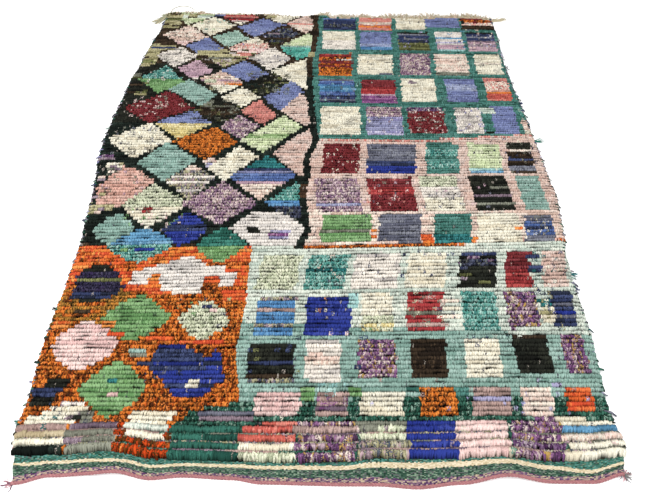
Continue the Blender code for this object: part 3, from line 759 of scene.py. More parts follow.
def ease(table, place, column=1):
    """A table's values at places in its first column, eased from row to row."""
    rows = np.array(table)
    keys = rows[:, 0]
    place = np.clip(place, keys[0], keys[-1])
    after = np.clip(np.searchsorted(keys, place, side="left"), 1, len(keys) - 1)
    share = (place - keys[after - 1]) / (keys[after] - keys[after - 1])
    share = share * share * (3.0 - 2.0 * share)
    values = rows[:, column]
    return values[after - 1] + share * (values[after] - values[after - 1])


def dice(a, b, seed):
    """A number from 0 to 1 that is always the same for the same pair."""
    value = np.sin(a * 12.9898 + b * 78.233 + seed * 37.719) * 43758.5453
    return value - np.floor(value)


def yarn_number(name):
    """A yarn's place in the list of yarns."""
    return YARN_NAMES.index(name)


def read_bands(text):
    """Yarns from the top down, each with the share of the height where it ends."""
    words = text.split()
    bands = []
    for name, end in zip(words[0::2], words[1::2] + ["1.0"]):
        bands.append((yarn_number(name), float(end)))
    return bands


def lay_bands(yarn, inside, share, text):
    """Lays a shape's yarns, band by band from the top, where inside is true."""
    start = -9.0
    for index, end in read_bands(text):
        if end == 1.0:
            end = 9.0
        yarn[inside & (share >= start) & (share < end)] = index
        start = end


def row_shift(x, y, slope, seed, size):
    """A sideways shift, the same for all knots of one shape in one row, so that its sides step."""
    key = np.floor((y - slope * x) / CHART_ROW).astype(int)
    value = np.sin(key * 127.1 + seed * 311.7) * 43758.5453
    return (value - np.floor(value) - 0.5) * 2.0 * size


def fill_shape(yarn, x, y, slope, seed, corners, bands, where):
    """Fills a shape with straight sides, its corners listed clockwise."""
    points = np.array(corners)
    px = x + row_shift(x, y, slope, seed, SHAPE_STEP)
    py = y - slope * (x - points[:, 0].mean())
    inside = where.copy()
    for a, b in zip(points, np.roll(points, -1, 0)):
        along = (b - a) / np.hypot(*(b - a))
        inside &= (px - a[0]) * along[1] - (py - a[1]) * along[0] > -SIDE_SLACK
    top, bottom = points[:, 1].max(), points[:, 1].min()
    lay_bands(yarn, inside, (top - py) / (top - bottom), bands)


def lay_grounds(x, y, line, low, left, rng):
    """The ground yarn of every knot, panel by panel, each line over the ones before it."""
    right = ~left & ~low
    foot = ease(PANEL_FOOT, x)
    blush_top = ease(BLUSH_TOP, x)
    blush = right & (y < blush_top)
    pick = rng.random(len(x))
    patch = dice(np.floor(x / PATCH_WIDTH + 5.0 * dice(line, line, 3.0)), line, 5.0)
    orange = low & (x < ease(ORANGE_SIDE, y))
    marl = orange & (y < ORANGE_MARL_TOP + 0.02 * np.sin(17.0 * x))
    seam = right & (y < foot + 0.0145)
    yarn = np.full(len(x), yarn_number("jade"))
    for where, name in (
        (left, "black_green"),
        (left & (y > BLACK_FROM), "black"),
        (left & (y > BROWN_FROM), "black_brown"),
        (blush, "blush"),
        (blush & (y > blush_top - 0.013) & (pick < 0.5), "coral"),
        (right & (y < CREAM_TOP), "blush_cream"),
        (low, "mint"),
        (low & (y < SEAFOAM_TOP - 0.04 * x), "seafoam"),
        (low & (y < MELANGE_TOP + 0.03 * (x - PANEL_MIDDLE)), "green_melange"),
        (orange, "orange_red"),
        (orange & ((pick < 0.22) | (patch > 0.72)), "orange"),
        (orange & (patch < 0.12), "rust_marl"),
        (marl, "orange_marl"),
        (marl & (pick < 0.35), "rust_marl"),
        (marl & (y > OCHRE_BOTTOM) & (x < -0.56) & (patch < 0.65), "ochre_marl"),
        (seam & (x > 0.42), "peach"),
        (seam & (x <= 0.42), "orange_marl"),
        (seam & (pick < 0.6), "rust_marl"),
        (left & (y < foot + 0.010), "black_brown"),
    ):
        yarn[where] = yarn_number(name)
    return yarn


def lay_blobs(yarn, x, y, slope):
    """Lozenges with bulging sides."""
    for number, (bx, by, half_w, half_h, bands) in enumerate(BLOBS):
        px = (x + row_shift(x, y, slope, FIRST_BLOB + number, SHAPE_STEP) - bx) / half_w
        py = (y - slope * (x - bx) - by) / half_h
        inside = np.abs(px) ** BLOB_ROUNDNESS + np.abs(py) ** BLOB_ROUNDNESS < 1.0
        lay_bands(yarn, inside, (1.0 - py) / 2.0, bands)


def lay_squares(yarn, x, y, slope):
    """The rows of squares."""
    for number, (top, bottom, rise, lean, cells) in enumerate(SQUARES):
        for cell, (x0, x1, bands) in enumerate(cells):
            middle = (x0 + x1) / 2.0
            py = y - slope * (x - middle) - rise * (middle - PANEL_MIDDLE)
            v = (py - (top + bottom) / 2.0) / ((top - bottom) / 2.0)
            seed = number * 7 + cell + FIRST_SQUARE
            px = x - lean * v + row_shift(x, y, slope, seed, SQUARE_STEP)
            inside = (np.abs(v) < 1.0) & (px > x0) & (px < x1)
            lay_bands(yarn, inside, (1.0 - v) / 2.0, bands)


def lay_border(yarn, x, y, slope, low):
    """The dark band between the panels."""
    off = np.abs(x + row_shift(x, y, slope, BORDER_SEED, BORDER_STEP) - ease(BORDER, y))
    band = (off < BORDER_HALF) & ~low
    for where, name in (
        (band, "black_green"),
        (band & (y > 0.62), "black_brown"),
        (band & (y > 0.785) & (y < 0.815), "khaki"),
        (band & (y < -0.04) & (y > -0.11), "brown"),
    ):
        yarn[where] = yarn_number(name)


def lay_bars(yarn, x, y, slope):
    """Bars and small figures."""
    for number, (x0, x1, top, bottom, bands) in enumerate(BARS):
        py = y - slope * (x - (x0 + x1) / 2.0)
        px = x + row_shift(x, y, slope, number + FIRST_BAR, BAR_STEP)
        inside = (py < top) & (py > bottom) & (px > x0) & (px < x1)
        lay_bands(yarn, inside, (top - py) / (top - bottom), bands)


def lay_front_band(yarn, x, y, slope):
    """The coarse rows before the flat-woven end."""
    band_top = ease(BAND_TOP, x)
    for number, (x0, x1, bands) in enumerate(FRONT_BAND):
        px = x + row_shift(x, y, slope, number + FIRST_BAND, BAND_STEP)
        inside = (y < band_top) & (px >= x0) & (px < x1)
        lay_bands(yarn, inside, (band_top - y) / (band_top - BAND_BOTTOM), bands)


def mix_ends(yarn, x, y, line):
    """Mixes ends of other yarns in and returns the second ply: a short end is one ply of its knots,
    a longer one fills them."""
    second = yarn.copy()
    for number, (x0, x1, top, bottom, share, length, names) in enumerate(FLECKS):
        run = np.floor(x / length + 5.0 * dice(line, line, 7.0))
        others = np.array([yarn_number(name) for name in names.split()])
        inside = (y < top) & (y > bottom) & (x > x0) & (x < x1)
        mixed = inside & (dice(run, line, 8.0 + number) < share)
        ends = others[(dice(run, line, 90.0 + number) * len(others)).astype(int)][mixed]
        second[mixed] = ends
        if length > SHORT_END:
            yarn[mixed] = ends
    return second


def chart(x, y, slope, rng):
    """The two plies of each knot, as numbers of yarns: x, y its place, slope its row's slope."""
    low = y < ease(PANEL_FOOT, x)
    left = (x < ease(BORDER, y)) & ~low
    line = np.floor((y - slope * x) / CHART_ROW)
    yarn = lay_grounds(x, y, line, low, left, rng)
    for number, shape in enumerate(LOZENGES):
        fill_shape(yarn, x, y, slope, number, shape[:-1], shape[-1], left)
    lay_blobs(yarn, x, y, slope)
    for number, shape in enumerate(FIGURES):
        fill_shape(yarn, x, y, slope, number + FIRST_FIGURE, shape[:-1], shape[-1], low)
    lay_squares(yarn, x, y, slope)
    lay_border(yarn, x, y, slope, low)
    lay_bars(yarn, x, y, slope)
    lay_front_band(yarn, x, y, slope)
    second = mix_ends(yarn, x, y, line)
    return yarn, second


# Front end and rows, along and across the rug
FRONT_END = (
    # across the rug, edge cord's middle, foot of the first pile row
    (-0.720, -1.147, -1.072),
    (-0.637, -1.126, -1.068),
    (-0.550, -1.122, -1.060),
    (-0.480, -1.117, -1.062),
    (-0.400, -1.130, -1.076),
    (-0.320, -1.122, -1.078),
    (-0.200, -1.127, -1.081),
    (-0.130, -1.137, -1.083),
    (0.050, -1.139, -1.080),
    (0.150, -1.138, -1.067),
    (0.240, -1.144, -1.068),
    (0.350, -1.131, -1.064),
    (0.464, -1.114, -1.062),
    (0.555, -1.125, -1.070),
    (0.660, -1.124, -1.066),
    (0.740, -1.104, -1.056),
)

CREAM_STRIPE = (
    # across the rug, lower and upper side of the cream stripe as shares of the flat-woven end
    (-0.74, 0.64, 0.73),
    (-0.66, 0.56, 0.70),
    (-0.50, 0.50, 0.64),
    (-0.40, 0.53, 0.68),
    (-0.30, 0.62, 0.79),
    (-0.15, 0.66, 0.84),
    (0.10, 0.65, 0.84),
    (0.35, 0.66, 0.88),
    (0.48, 0.62, 0.86),
    (0.56, 0.60, 0.80),
    (0.66, 0.42, 0.58),
    (0.71, 0.46, 0.60),
    (0.76, 0.57, 0.72),
)

ROW_SLOPES = (
    # along the rug, rise of a row towards the right for each metre across
    (-1.13, 0.010),
    (-0.70, 0.020),
    (-0.35, 0.038),
    (0.00, 0.014),
    (0.25, 0.000),
    (0.80, -0.014),
    (1.13, -0.030),
)

PILE_ZONES = (
    # from, to, row pitch, ridge height, knot width
    (PILE_FRONT, -0.982, 0.0232, 0.0210, 0.0030),
    (-0.982, -0.360, 0.0144, 0.0160, 0.0042),
    (-0.360, 0.220, 0.0141, 0.0150, 0.0044),
    (0.220, PILE_BACK, 0.0129, 0.0150, 0.0048),
)
COARSE_STEP = 0.0165

RIPPLES = (
    # across the rug, half width, lift of the front edge
    (-0.500, 0.120, 0.008),
    (0.462, 0.130, 0.010),
    (0.760, 0.070, 0.006),
)


def linear(hex_colour):
    """An sRGB hex colour as linear RGBA."""
    parts = [int(hex_colour[i:i + 2], 16) / 255.0 for i in (0, 2, 4)]
    low_high = [p / 12.92 if p <= 0.04045 else ((p + 0.055) / 1.055) ** 2.4 for p in parts]
    return (*low_high, 1.0)


def noise_at(x, y, size, layer):
    """Smooth noise from -1 to 1 at many places."""
    return np.array([noise.noise(Vector((a / size, b / size, layer))) for a, b in zip(x, y)])


def straight_row(place, x):
    """A row line's place at x, without its wander."""
    return place + ease(ROW_SLOPES, place) * x


def cloth_y(place, x):
    """The real place of a row line at x, with the wavy front end and the rows' slow wander."""
    place = np.asarray(place, float) + np.zeros_like(x)
    edge = ease(FRONT_END, x, 1) + CORD_RADIUS + CORD_GAP
    bend_at_edge = edge - straight_row(np.full_like(x, FRONT_EDGE), x)
    bend_at_foot = ease(FRONT_END, x, 2) - straight_row(np.full_like(x, PILE_FRONT), x)
    share = (place - FRONT_EDGE) / (PILE_FRONT - FRONT_EDGE)
    woven = bend_at_edge + share * (bend_at_foot - bend_at_edge)
    first_rows = np.clip((FRONT_WAVE_END - place) / (FRONT_WAVE_END - PILE_FRONT), 0.0, 1.0) * bend_at_foot
    fade = np.clip(np.minimum((place - FRONT_WAVE_END) / 0.1, (BACK_EDGE - place) / 0.1), 0.0, 1.0)
    wander = fade * ROW_WANDER * noise_at(x, place, ROW_WANDER_SIZE, 0.5)
    bend = np.where(place <= PILE_FRONT, woven, first_rows) + wander
    return straight_row(place, x) + bend


def lift(place, x):
    """How far the ripples of the front end raise the cloth off the floor."""
    depth = np.clip((RIPPLE_END - place) / (RIPPLE_END - FRONT_EDGE), 0.0, 1.0)
    total = np.zeros_like(x)
    for centre, half_width, height in RIPPLES:
        off = np.minimum(np.abs(x - centre) / half_width, 1.0)
        total += height * np.cos(off * math.pi / 2.0) ** 2
    return total * depth * depth * (3.0 - 2.0 * depth)


def add_node(tree, kind, settings=(), links=(), **values):
    """Adds a node, sets its own settings and its inputs' values, and links what feeds it."""
    node = tree.nodes.new(kind)
    for name, value in settings:
        setattr(node, name, value)
    for name, value in values.items():
        node.inputs[name.replace("_", " ")].default_value = value
    for name, source in links:
        tree.links.new(source, node.inputs[name])
    return node


def new_material(name):
    """A material with its node tree and its shader, none of it metal."""
    material = bpy.data.materials.new(name)
    material.use_nodes = True
    tree = material.node_tree
    shader = tree.nodes["Principled BSDF"]
    shader.inputs["Metallic"].default_value = 0.0
    return material, tree, shader


def yarn_finish(name, fibre_size, bump, twisted=False):
    """Hand-spun wool or cotton: matt, slightly fuzzy, its fibres as noise of their real size, with
    painted shade where a knot goes down between the rows. A twisted yarn shows its second ply in spots."""
    material, tree, shader = new_material(name)
    colour = add_node(tree, "ShaderNodeAttribute", (("attribute_name", "yarn"),)).outputs["Color"]
    shade = add_node(tree, "ShaderNodeAttribute", (("attribute_name", "shade"),))
    gap = add_node(tree, "ShaderNodeAttribute", (("attribute_name", "gap"),))
    place = add_node(tree, "ShaderNodeTexCoord")
    along = add_node(tree, "ShaderNodeMapping", links=(("Vector", place.outputs["Object"]),),
                     Scale=(1.0 / fibre_size, 0.3 / fibre_size, 0.5 / fibre_size))
    fibres = add_node(tree, "ShaderNodeTexNoise", links=(("Vector", along.outputs["Vector"]),),
                      Scale=1.0, Detail=3.0)
    if twisted:
        second = add_node(tree, "ShaderNodeAttribute", (("attribute_name", "twist"),))
        spots = add_node(tree, "ShaderNodeTexNoise", links=(("Vector", place.outputs["Object"]),),
                         Scale=1.0 / SPOT_SIZE, Detail=1.0)
        share = add_node(tree, "ShaderNodeMapRange", links=(("Value", spots.outputs["Fac"]),))
        share.inputs["From Min"].default_value = 0.46
        share.inputs["From Max"].default_value = 0.54
        plies = add_node(tree, "ShaderNodeMix", (("data_type", "RGBA"),))
        tree.links.new(share.outputs["Result"], plies.inputs[0])
        tree.links.new(colour, plies.inputs[6])
        tree.links.new(second.outputs["Color"], plies.inputs[7])
        colour = plies.outputs[2]
    light = add_node(tree, "ShaderNodeMapRange", links=(("Value", fibres.outputs["Fac"]),))
    light.inputs["From Min"].default_value = 0.3
    light.inputs["From Max"].default_value = 0.7
    light.inputs["To Min"].default_value = 0.80
    light.inputs["To Max"].default_value = 1.10
    # Painted shade: each point's shade, times its knot's crease strength, darkens the colour towards the
    # knot's foot and root
    depth = add_node(tree, "ShaderNodeMath", (("operation", "SUBTRACT"),))
    depth.inputs[0].default_value = 1.0
    tree.links.new(shade.outputs["Fac"], depth.inputs[1])
    dark = add_node(tree, "ShaderNodeMath", (("operation", "MULTIPLY"), ("use_clamp", True)))
    tree.links.new(depth.outputs["Value"], dark.inputs[0])
    tree.links.new(gap.outputs["Fac"], dark.inputs[1])
    keep = add_node(tree, "ShaderNodeMath", (("operation", "SUBTRACT"),))
    keep.inputs[0].default_value = 1.0
    tree.links.new(dark.outputs["Value"], keep.inputs[1])
    level = add_node(tree, "ShaderNodeMath", (("operation", "MULTIPLY"),))
    tree.links.new(light.outputs["Result"], level.inputs[0])
    tree.links.new(keep.outputs["Value"], level.inputs[1])
    tint = add_node(tree, "ShaderNodeVectorMath", (("operation", "SCALE"),),
                    (("Vector", colour), ("Scale", level.outputs["Value"])))
    relief = add_node(tree, "ShaderNodeBump", links=(("Height", fibres.outputs["Fac"]),),
                      Strength=bump, Distance=0.001)
    tree.links.new(tint.outputs["Vector"], shader.inputs["Base Color"])
    tree.links.new(relief.outputs["Normal"], shader.inputs["Normal"])
    shader.inputs["Roughness"].default_value = 0.95
    shader.inputs["Specular IOR Level"].default_value = 0.1
    return material


def add_piece(name, mesh, material):
    """A finished piece: its object at the origin, riding on the rug's one body."""
    piece = bpy.data.objects.new(name, mesh)
    bpy.context.scene.collection.objects.link(piece)
    if material is not None:
        piece.data.materials.clear()
        piece.data.materials.append(material)
    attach(piece, "root")
    return piece


def tri_strand(stations, rng, wander):
    """A three-sided strand through its stations: middle, place, underside, top, half width, painted shade."""
    bm = bmesh.new()
    bmesh.ops.create_cone(bm, cap_ends=True, segments=3, radius1=1.0, radius2=1.0, depth=1.0)
    lying = Matrix.Rotation(math.pi / 2.0, 3, "X")
    bmesh.ops.rotate(bm, verts=bm.verts, cent=(0.0, 0.0, 0.0), matrix=lying)
    long_edges = [e for e in bm.edges if abs(e.verts[0].co.y - e.verts[1].co.y) > 0.5]
    bmesh.ops.subdivide_edges(bm, edges=long_edges, cuts=len(stations) - 2)
    # Each point keeps its station's painted shade in this layer
    tone = bm.verts.layers.float.new("shade")
    for vert in bm.verts:
        station = round((0.5 - vert.co.y) * (len(stations) - 1))
        x, y, low, high, half, shade = stations[station]
        vert[tone] = shade
        if abs(vert.co.x) > 0.1:
            corner = Vector((x + math.copysign(half, vert.co.x), y, low))
        else:
            corner = Vector((x, y, high))
        vert.co = corner + Vector(rng.uniform(-wander, wander, 3))
    bmesh.ops.recalc_face_normals(bm, faces=bm.faces)
    for face in bm.faces:
        face.smooth = True
    mesh = bpy.data.meshes.new("strand")
    bm.to_mesh(mesh)
    bm.free()
    return mesh


PLAIN_KNOT = (
    # along the rug, underside, top, half width, painted shade (1 none, 0 darkest) at the root and foot
    (0.0056, 0.0088, 0.0116, 0.0028, 0.60),
    (-0.0028, 0.0131, 0.0150, 0.0036, 1.0),
    (-0.0088, 0.0020, 0.0046, 0.0030, 0.0),
)


def knot_shape(rng):
    """One knot: a yarn end that comes up behind its row and falls over towards the front."""
    sway = rng.uniform(-0.0016, 0.0016)
    rise = rng.uniform(-0.0005, 0.0005)
    stations = []
    for i, (y, low, high, half, shade) in enumerate(PLAIN_KNOT):
        stations.append((sway * i / 2.0, y, low, high + rise, half, shade))
    return tri_strand(stations, rng, 0.0004)


def strand_shape(rng):
    """A loose yarn end of full length lying on the floor, wavy and thinner towards its tip."""
    stations = []
    wave = rng.uniform(0.0, math.tau)
    bend = rng.uniform(-0.006, 0.006)
    for i in range(6):
        share = i / 5.0
        x = bend * share * share + 0.0012 * (math.sin(wave + 5.0 * share) - math.sin(wave))
        radius = STRAND_RADIUS * (1.0 - 0.6 * share)
        hop = 0.0012 * abs(math.sin(wave + 4.0 * share)) * share
        stations.append((x, -STRAND_LENGTH * share, hop, hop + 2.0 * radius, radius, 1.0))
    return tri_strand(stations, rng, 0.0002)


def shape_set(name, count, make_shape, rng):
    """A collection of shapes that the points pick from."""
    collection = bpy.data.collections.new(name)
    for number in range(count):
        shape = bpy.data.objects.new("%s_%02d" % (name, number), make_shape(rng))
        collection.objects.link(shape)
    return collection


def setting_tree(collection):
    """Geometry nodes that set a shape on every point, turned, sized and picked by its attributes."""
    tree = bpy.data.node_groups.new("set_" + collection.name, "GeometryNodeTree")
    tree.interface.new_socket("Geometry", in_out="INPUT", socket_type="NodeSocketGeometry")
    tree.interface.new_socket("Geometry", in_out="OUTPUT", socket_type="NodeSocketGeometry")
    start = add_node(tree, "NodeGroupInput")
    end = add_node(tree, "NodeGroupOutput")
    shapes = add_node(tree, "GeometryNodeCollectionInfo", Collection=collection,
                      Separate_Children=True, Reset_Children=True)
    turn = add_node(tree, "GeometryNodeInputNamedAttribute", (("data_type", "FLOAT_VECTOR"),), Name="turn")
    size = add_node(tree, "GeometryNodeInputNamedAttribute", (("data_type", "FLOAT_VECTOR"),), Name="size")
    pick = add_node(tree, "GeometryNodeInputNamedAttribute", (("data_type", "INT"),), Name="pick")
    spin = add_node(tree, "FunctionNodeEulerToRotation", links=(("Euler", turn.outputs["Attribute"]),))
    setting = add_node(tree, "GeometryNodeInstanceOnPoints", links=(
        ("Points", start.outputs["Geometry"]),
        ("Instance", shapes.outputs["Instances"]),
        ("Instance Index", pick.outputs["Attribute"]),
        ("Rotation", spin.outputs["Rotation"]),
        ("Scale", size.outputs["Attribute"]),
    ), Pick_Instance=True)
    real = add_node(tree, "GeometryNodeRealizeInstances", links=(("Geometry", setting.outputs["Instances"]),))
    tree.links.new(real.outputs["Geometry"], end.inputs["Geometry"])
    return tree


def set_shapes(name, tree, points, turns, sizes, picks, colours, twists=None, crease_shades=None):
    """Sets shapes on points and returns the mesh, each shape in its own two plies and with its own
    strength of the painted shade in the creases at its foot and root."""
    mesh = bpy.data.meshes.new(name + "_points")
    mesh.vertices.add(len(points))
    mesh.vertices.foreach_set("co", points.astype(np.float32).ravel())
    for attribute, kind, field, values in (
        ("turn", "FLOAT_VECTOR", "vector", turns),
        ("size", "FLOAT_VECTOR", "vector", sizes),
        ("pick", "INT", "value", picks),
        ("yarn", "FLOAT_COLOR", "color", colours),
        ("twist", "FLOAT_COLOR", "color", colours if twists is None else twists),
        ("gap", "FLOAT", "value", np.zeros(len(points)) if crease_shades is None else crease_shades),
    ):
        values = np.asarray(values, np.int32 if kind == "INT" else np.float32)
        mesh.attributes.new(attribute, kind, "POINT").data.foreach_set(field, values.ravel())
    holder = bpy.data.objects.new(name + "_points", mesh)
    bpy.context.scene.collection.objects.link(holder)
    modifier = holder.modifiers.new("setting", "NODES")
    modifier.node_group = tree
    graph = bpy.context.evaluated_depsgraph_get()
    made = bpy.data.meshes.new_from_object(
        holder.evaluated_get(graph), preserve_all_data_layers=True, depsgraph=graph)
    made.name = name
    bpy.data.objects.remove(holder)
    for attribute in [a.name for a in made.attributes if a.name in ("turn", "size", "pick")]:
        made.attributes.remove(made.attributes[attribute])
    return made


def yarn_colours(yarns, x, place, rng):
    """Colours for the two plies of every knot. A marl draws both for each knot, a plain yarn keeps
    one hank for a stretch of its row, and a few knots show a fleck of another yarn."""
    tables = [np.array([linear(h) for h in YARNS[name].split()]) for name in YARN_NAMES]
    marls = [yarn_number(name) for name in MARLS]
    count = len(x)
    row = np.round(place * 2000.0)
    stretch = np.floor(x / HANK_RUN + 7.0 * dice(row, row, 1.0) + rng.normal(0.0, 0.02, count))
    hank = dice(row, stretch, 2.0)
    tone = 1.0 + 0.12 * (dice(row, stretch, 3.0) - 0.5) + rng.normal(0.0, 0.03, count)
    lump = np.floor(x / MARL_LUMP + 5.0 * dice(row, row, 5.0))
    plies = []
    for ply, yarn in enumerate(yarns):
        loose = np.clip(hank + rng.normal(0.0, 0.08, count), 0.0, 0.999)
        mixed = dice(lump, row, 6.0) if ply == 0 else rng.random(count)
        draw = np.where(np.isin(yarn, marls), mixed, loose)
        colours = np.zeros((count, 4))
        for index, table in enumerate(tables):
            chosen = yarn == index
            colours[chosen] = table[(draw[chosen] * len(table)).astype(int)]
        colours[:, :3] *= (tone + rng.normal(0.0, 0.03, count))[:, None]
        plies.append(colours)
    often = 0.35 + 0.45 * noise_at(x, place, 0.14, 4.0)
    fleck = (noise_at(x, row * 0.91, 0.014, 8.0) > 0.40) & (rng.random(count) < often)
    fleck &= ~np.isin(yarns[0], marls)
    bright = plies[0][:, :3].mean(axis=1) > 0.15
    plies[0][fleck & bright] = linear(DARK_FLECK)
    plies[0][fleck & ~bright] = linear(PALE_FLECK)
    return [np.clip(colours, 0.0, 1.0) for colours in plies]


def knot_rows(rng):
    """Every knot's place across, its row's place, step and ridge height, its width, its distance from
    the rim, and 1 if it belongs to the bare wefts that show between the coarse rows."""
    columns = []
    for start, end, pitch, ridge, width in PILE_ZONES:
        rows = round((end - start) / pitch)
        step = (end - start) / rows
        lines = []
        for row in range(rows):
            if step > COARSE_STEP:
                lines.append((start + (row + 0.52) * step, 0.88 * step, ridge, 0.0))
                if row > 0:
                    lines.append((start + (row - 0.07) * step, 0.42 * step, 0.82 * ridge, 1.0))
            else:
                lines.append((start + (row + 0.45) * step, step, ridge, 0.0))
        for place, length, height, bare in lines:
            left = ease(SIDE_EDGES, np.array([place]), 1)[0]
            right = ease(SIDE_EDGES, np.array([place]), 2)[0]
            count = int((right - left) / width)
            cell = (right - left) / count
            x = left + (np.arange(count) + 0.5 + rng.uniform(-0.22, 0.22, count)) * cell
            rim = np.minimum(x - left, right - x)
            same = [np.full(count, v) for v in (place, length, height, width, bare)]
            columns.append(np.stack([x] + same + [rim]))
    return np.concatenate(columns, axis=1)


def make_pile(finish):
    """All knots of the pile, in pieces from the front to the back."""
    rng = np.random.default_rng(11)
    x, place, step, ridge, width, bare, from_rim = knot_rows(rng)
    slope = ease(ROW_SLOPES, place)
    y = cloth_y(place, x)
    kept = y < ease(BACK_LINE, x) + rng.normal(0.0, 0.002, len(x))
    values = (x, place, step, ridge, width, bare, from_rim, slope, y)
    x, place, step, ridge, width, bare, from_rim, slope, y = [v[kept] for v in values]
    yarn, second = chart(x, y - SEEN_SHIFT * ridge, slope, rng)
    count = len(x)
    row = np.round(place * 2000.0)
    piece = np.floor(x / 0.13 + 3.0 * dice(row, row, 4.0))
    wefts = np.array([yarn_number(name) for name in BARE_WEFTS])
    yarn = np.where(bare > 0.5, wefts[(dice(row, piece, 5.0) * len(wefts)).astype(int)], yarn)
    second = np.where(bare > 0.5, yarn, second)
    plies = yarn_colours((yarn, second), x, place, rng)
    marl = np.isin(yarn, [yarn_number(name) for name in MARLS])
    coarse = step > COARSE_STEP
    slack = noise_at(x, row * 0.71, 0.034, 6.0)
    clump = noise_at(x, row * 0.53, 0.011, 12.0)
    wave = 0.0015 * noise_at(x, row * 0.29, 0.045, 9.0) + 0.0009 * clump
    wave = wave * np.where(coarse, 2.6, 1.0) + np.where(marl, rng.normal(0.0, 0.0010, count), 0.0)
    points = np.stack([x - CHART_MIDDLE[0], y + wave - CHART_MIDDLE[1], lift(place, x)], axis=1)
    turns = np.zeros((count, 3))
    unruly = np.where(marl, np.where(coarse, 0.38, 0.34), 0.15)
    turns[:, 2] = np.arctan(slope) + rng.normal(0.0, 1.0, count) * unruly
    rim = np.clip(from_rim / RIM_WIDTH, 0.0, 1.0)
    uneven = np.where(marl, 0.09, 0.04)
    heights = (1.0 + 0.05 * slack + 0.04 * clump) * (1.0 + uneven * rng.normal(0.0, 1.0, count))
    widths = width / KNOT_WIDTH * rng.uniform(0.90, 1.25, count) * np.where(coarse, 1.7, 1.0)
    ragged = 1.0 + np.where(coarse, 0.10, 0.05) * rng.normal(0.0, 1.0, count)
    sizes = np.stack([
        widths,
        step / KNOT_STEP * (1.0 - 0.13 * slack) * ragged,
        ridge / KNOT_HEIGHT * (0.62 + 0.38 * rim) * np.minimum(heights, 1.12),
    ], axis=1)
    # Strength of each knot's painted shade in the creases between the rows: dashes along each row, weaker in
    # the coarse rows
    crease_shades = np.clip(0.50 + 2.4 * slack + rng.normal(0.0, 0.15, count), 0.12, 2.4)
    crease_shades *= np.where(coarse, 0.6, 1.0)
    picks = rng.integers(0, KNOT_SHAPES, count)
    tree = setting_tree(shape_set("knot", KNOT_SHAPES, knot_shape, rng))
    pieces = []
    share = np.searchsorted(np.quantile(place, np.arange(1, PILE_PIECES) / PILE_PIECES), place)
    for number in range(PILE_PIECES):
        part = share == number
        name = "pile_rows_%d" % (number + 1)
        mesh = set_shapes(name, tree, points[part], turns[part], sizes[part], picks[part],
                          plies[0][part], plies[1][part], crease_shades[part])
        pieces.append(add_piece(name, mesh, finish))
    return pieces


def lay_strands(name, tree, roots, headings, lengths, thickness, hues, rng):
    """Loose yarn ends: each from its root, along its heading in degrees from +X, in one of its own
    hues, which are one text for all ends or one for each."""
    count = len(roots)
    turns = np.zeros((count, 3))
    turns[:, 2] = np.radians(np.asarray(headings)) + math.pi / 2.0
    sizes = np.stack([
        np.asarray(thickness) + np.zeros(count),
        np.asarray(lengths) / STRAND_LENGTH,
        np.asarray(thickness) + np.zeros(count),
    ], axis=1)
    if isinstance(hues, str):
        hues = [hues] * count
    colours = np.array([linear(rng.choice(choice.split())) for choice in hues])
    colours[:, :3] *= rng.normal(1.0, 0.07, count)[:, None]
    picks = rng.integers(0, STRAND_SHAPES, count)
    points = np.asarray(roots, float) - np.array([CHART_MIDDLE[0], CHART_MIDDLE[1], 0.0])
    return set_shapes(name, tree, points, turns, sizes, picks, np.clip(colours, 0.0, 1.0))


def bunch(root, heading, length, count, spread, rng):
    """Roots, headings and lengths of a bunch of yarn ends that leave one place together."""
    roots = np.array(root) + rng.normal(0.0, 0.0022, (count, 3)) * np.array([1.0, 1.0, 0.0])
    headings = heading + rng.normal(0.0, spread, count)
    lengths = length * rng.uniform(0.55, 1.0, count)
    return roots, headings, lengths


def join_bunches(bunches):
    """Roots, headings and lengths of several bunches as one."""
    return [np.concatenate([b[i] for b in bunches]) for i in range(3)]


def make_fringe(tree):
    """The warp ends along the back edge: fine, tangled, in loose clumps, gathered at the corners."""
    rng = np.random.default_rng(21)
    left = SIDE_EDGES[-1][1] + 0.002
    right = SIDE_EDGES[-1][2] - 0.002
    count = FRINGE_COUNT
    x = left + (np.arange(count) + rng.random(count)) / count * (right - left)
    y = ease(BACK_LINE, x) - rng.uniform(0.0, 0.008, count)
    z = rng.uniform(0.0005, 0.0060, count)
    clump = noise_at(x, np.zeros(count), 0.035, 3.0)
    headings = 90.0 + 60.0 * clump + rng.normal(0.0, 24.0, count)
    lengths = 0.008 + ease(FRINGE_LENGTHS, x) * rng.uniform(0.45, 1.0, count)
    bunches = [(np.stack([x, y, z], axis=1), headings, lengths)]
    hues = [FRINGE_HUES] * count
    corners = {
        "left": (left - 0.002, ease(BACK_LINE, np.array([left]))[0] - 0.006, 0.0005),
        "right": (right + 0.002, ease(BACK_LINE, np.array([right]))[0], 0.0005),
    }
    for corner, heading, length, ends, spread in CORNER_BUNCHES:
        bunches.append(bunch(corners[corner], heading, length, ends, spread, rng))
        hues += [CORNER_HUES[corner]] * ends
    return lay_strands("warp_ends", tree, *join_bunches(bunches), 1.25, hues, rng)


def make_loose_warp():
    """One long warp end that loops over the floor behind the left corner."""
    route = [Vector((x - CHART_MIDDLE[0], y - CHART_MIDDLE[1], LOOSE_WARP_HEIGHT)) for x, y in LOOSE_WARP]
    curve = bpy.data.curves.new("loose_warp", "CURVE")
    curve.dimensions = "3D"
    curve.bevel_depth = LOOSE_WARP_RADIUS
    curve.bevel_resolution = 1
    curve.use_fill_caps = True
    curve.resolution_u = 6
    spline = curve.splines.new("BEZIER")
    spline.bezier_points.add(len(route) - 1)
    for point, place in zip(spline.bezier_points, route):
        point.co = place
        point.handle_left_type = "AUTO"
        point.handle_right_type = "AUTO"
    mesh = curve_mesh(curve)
    paint_mesh(mesh, "8C876F", 0.06)
    return mesh


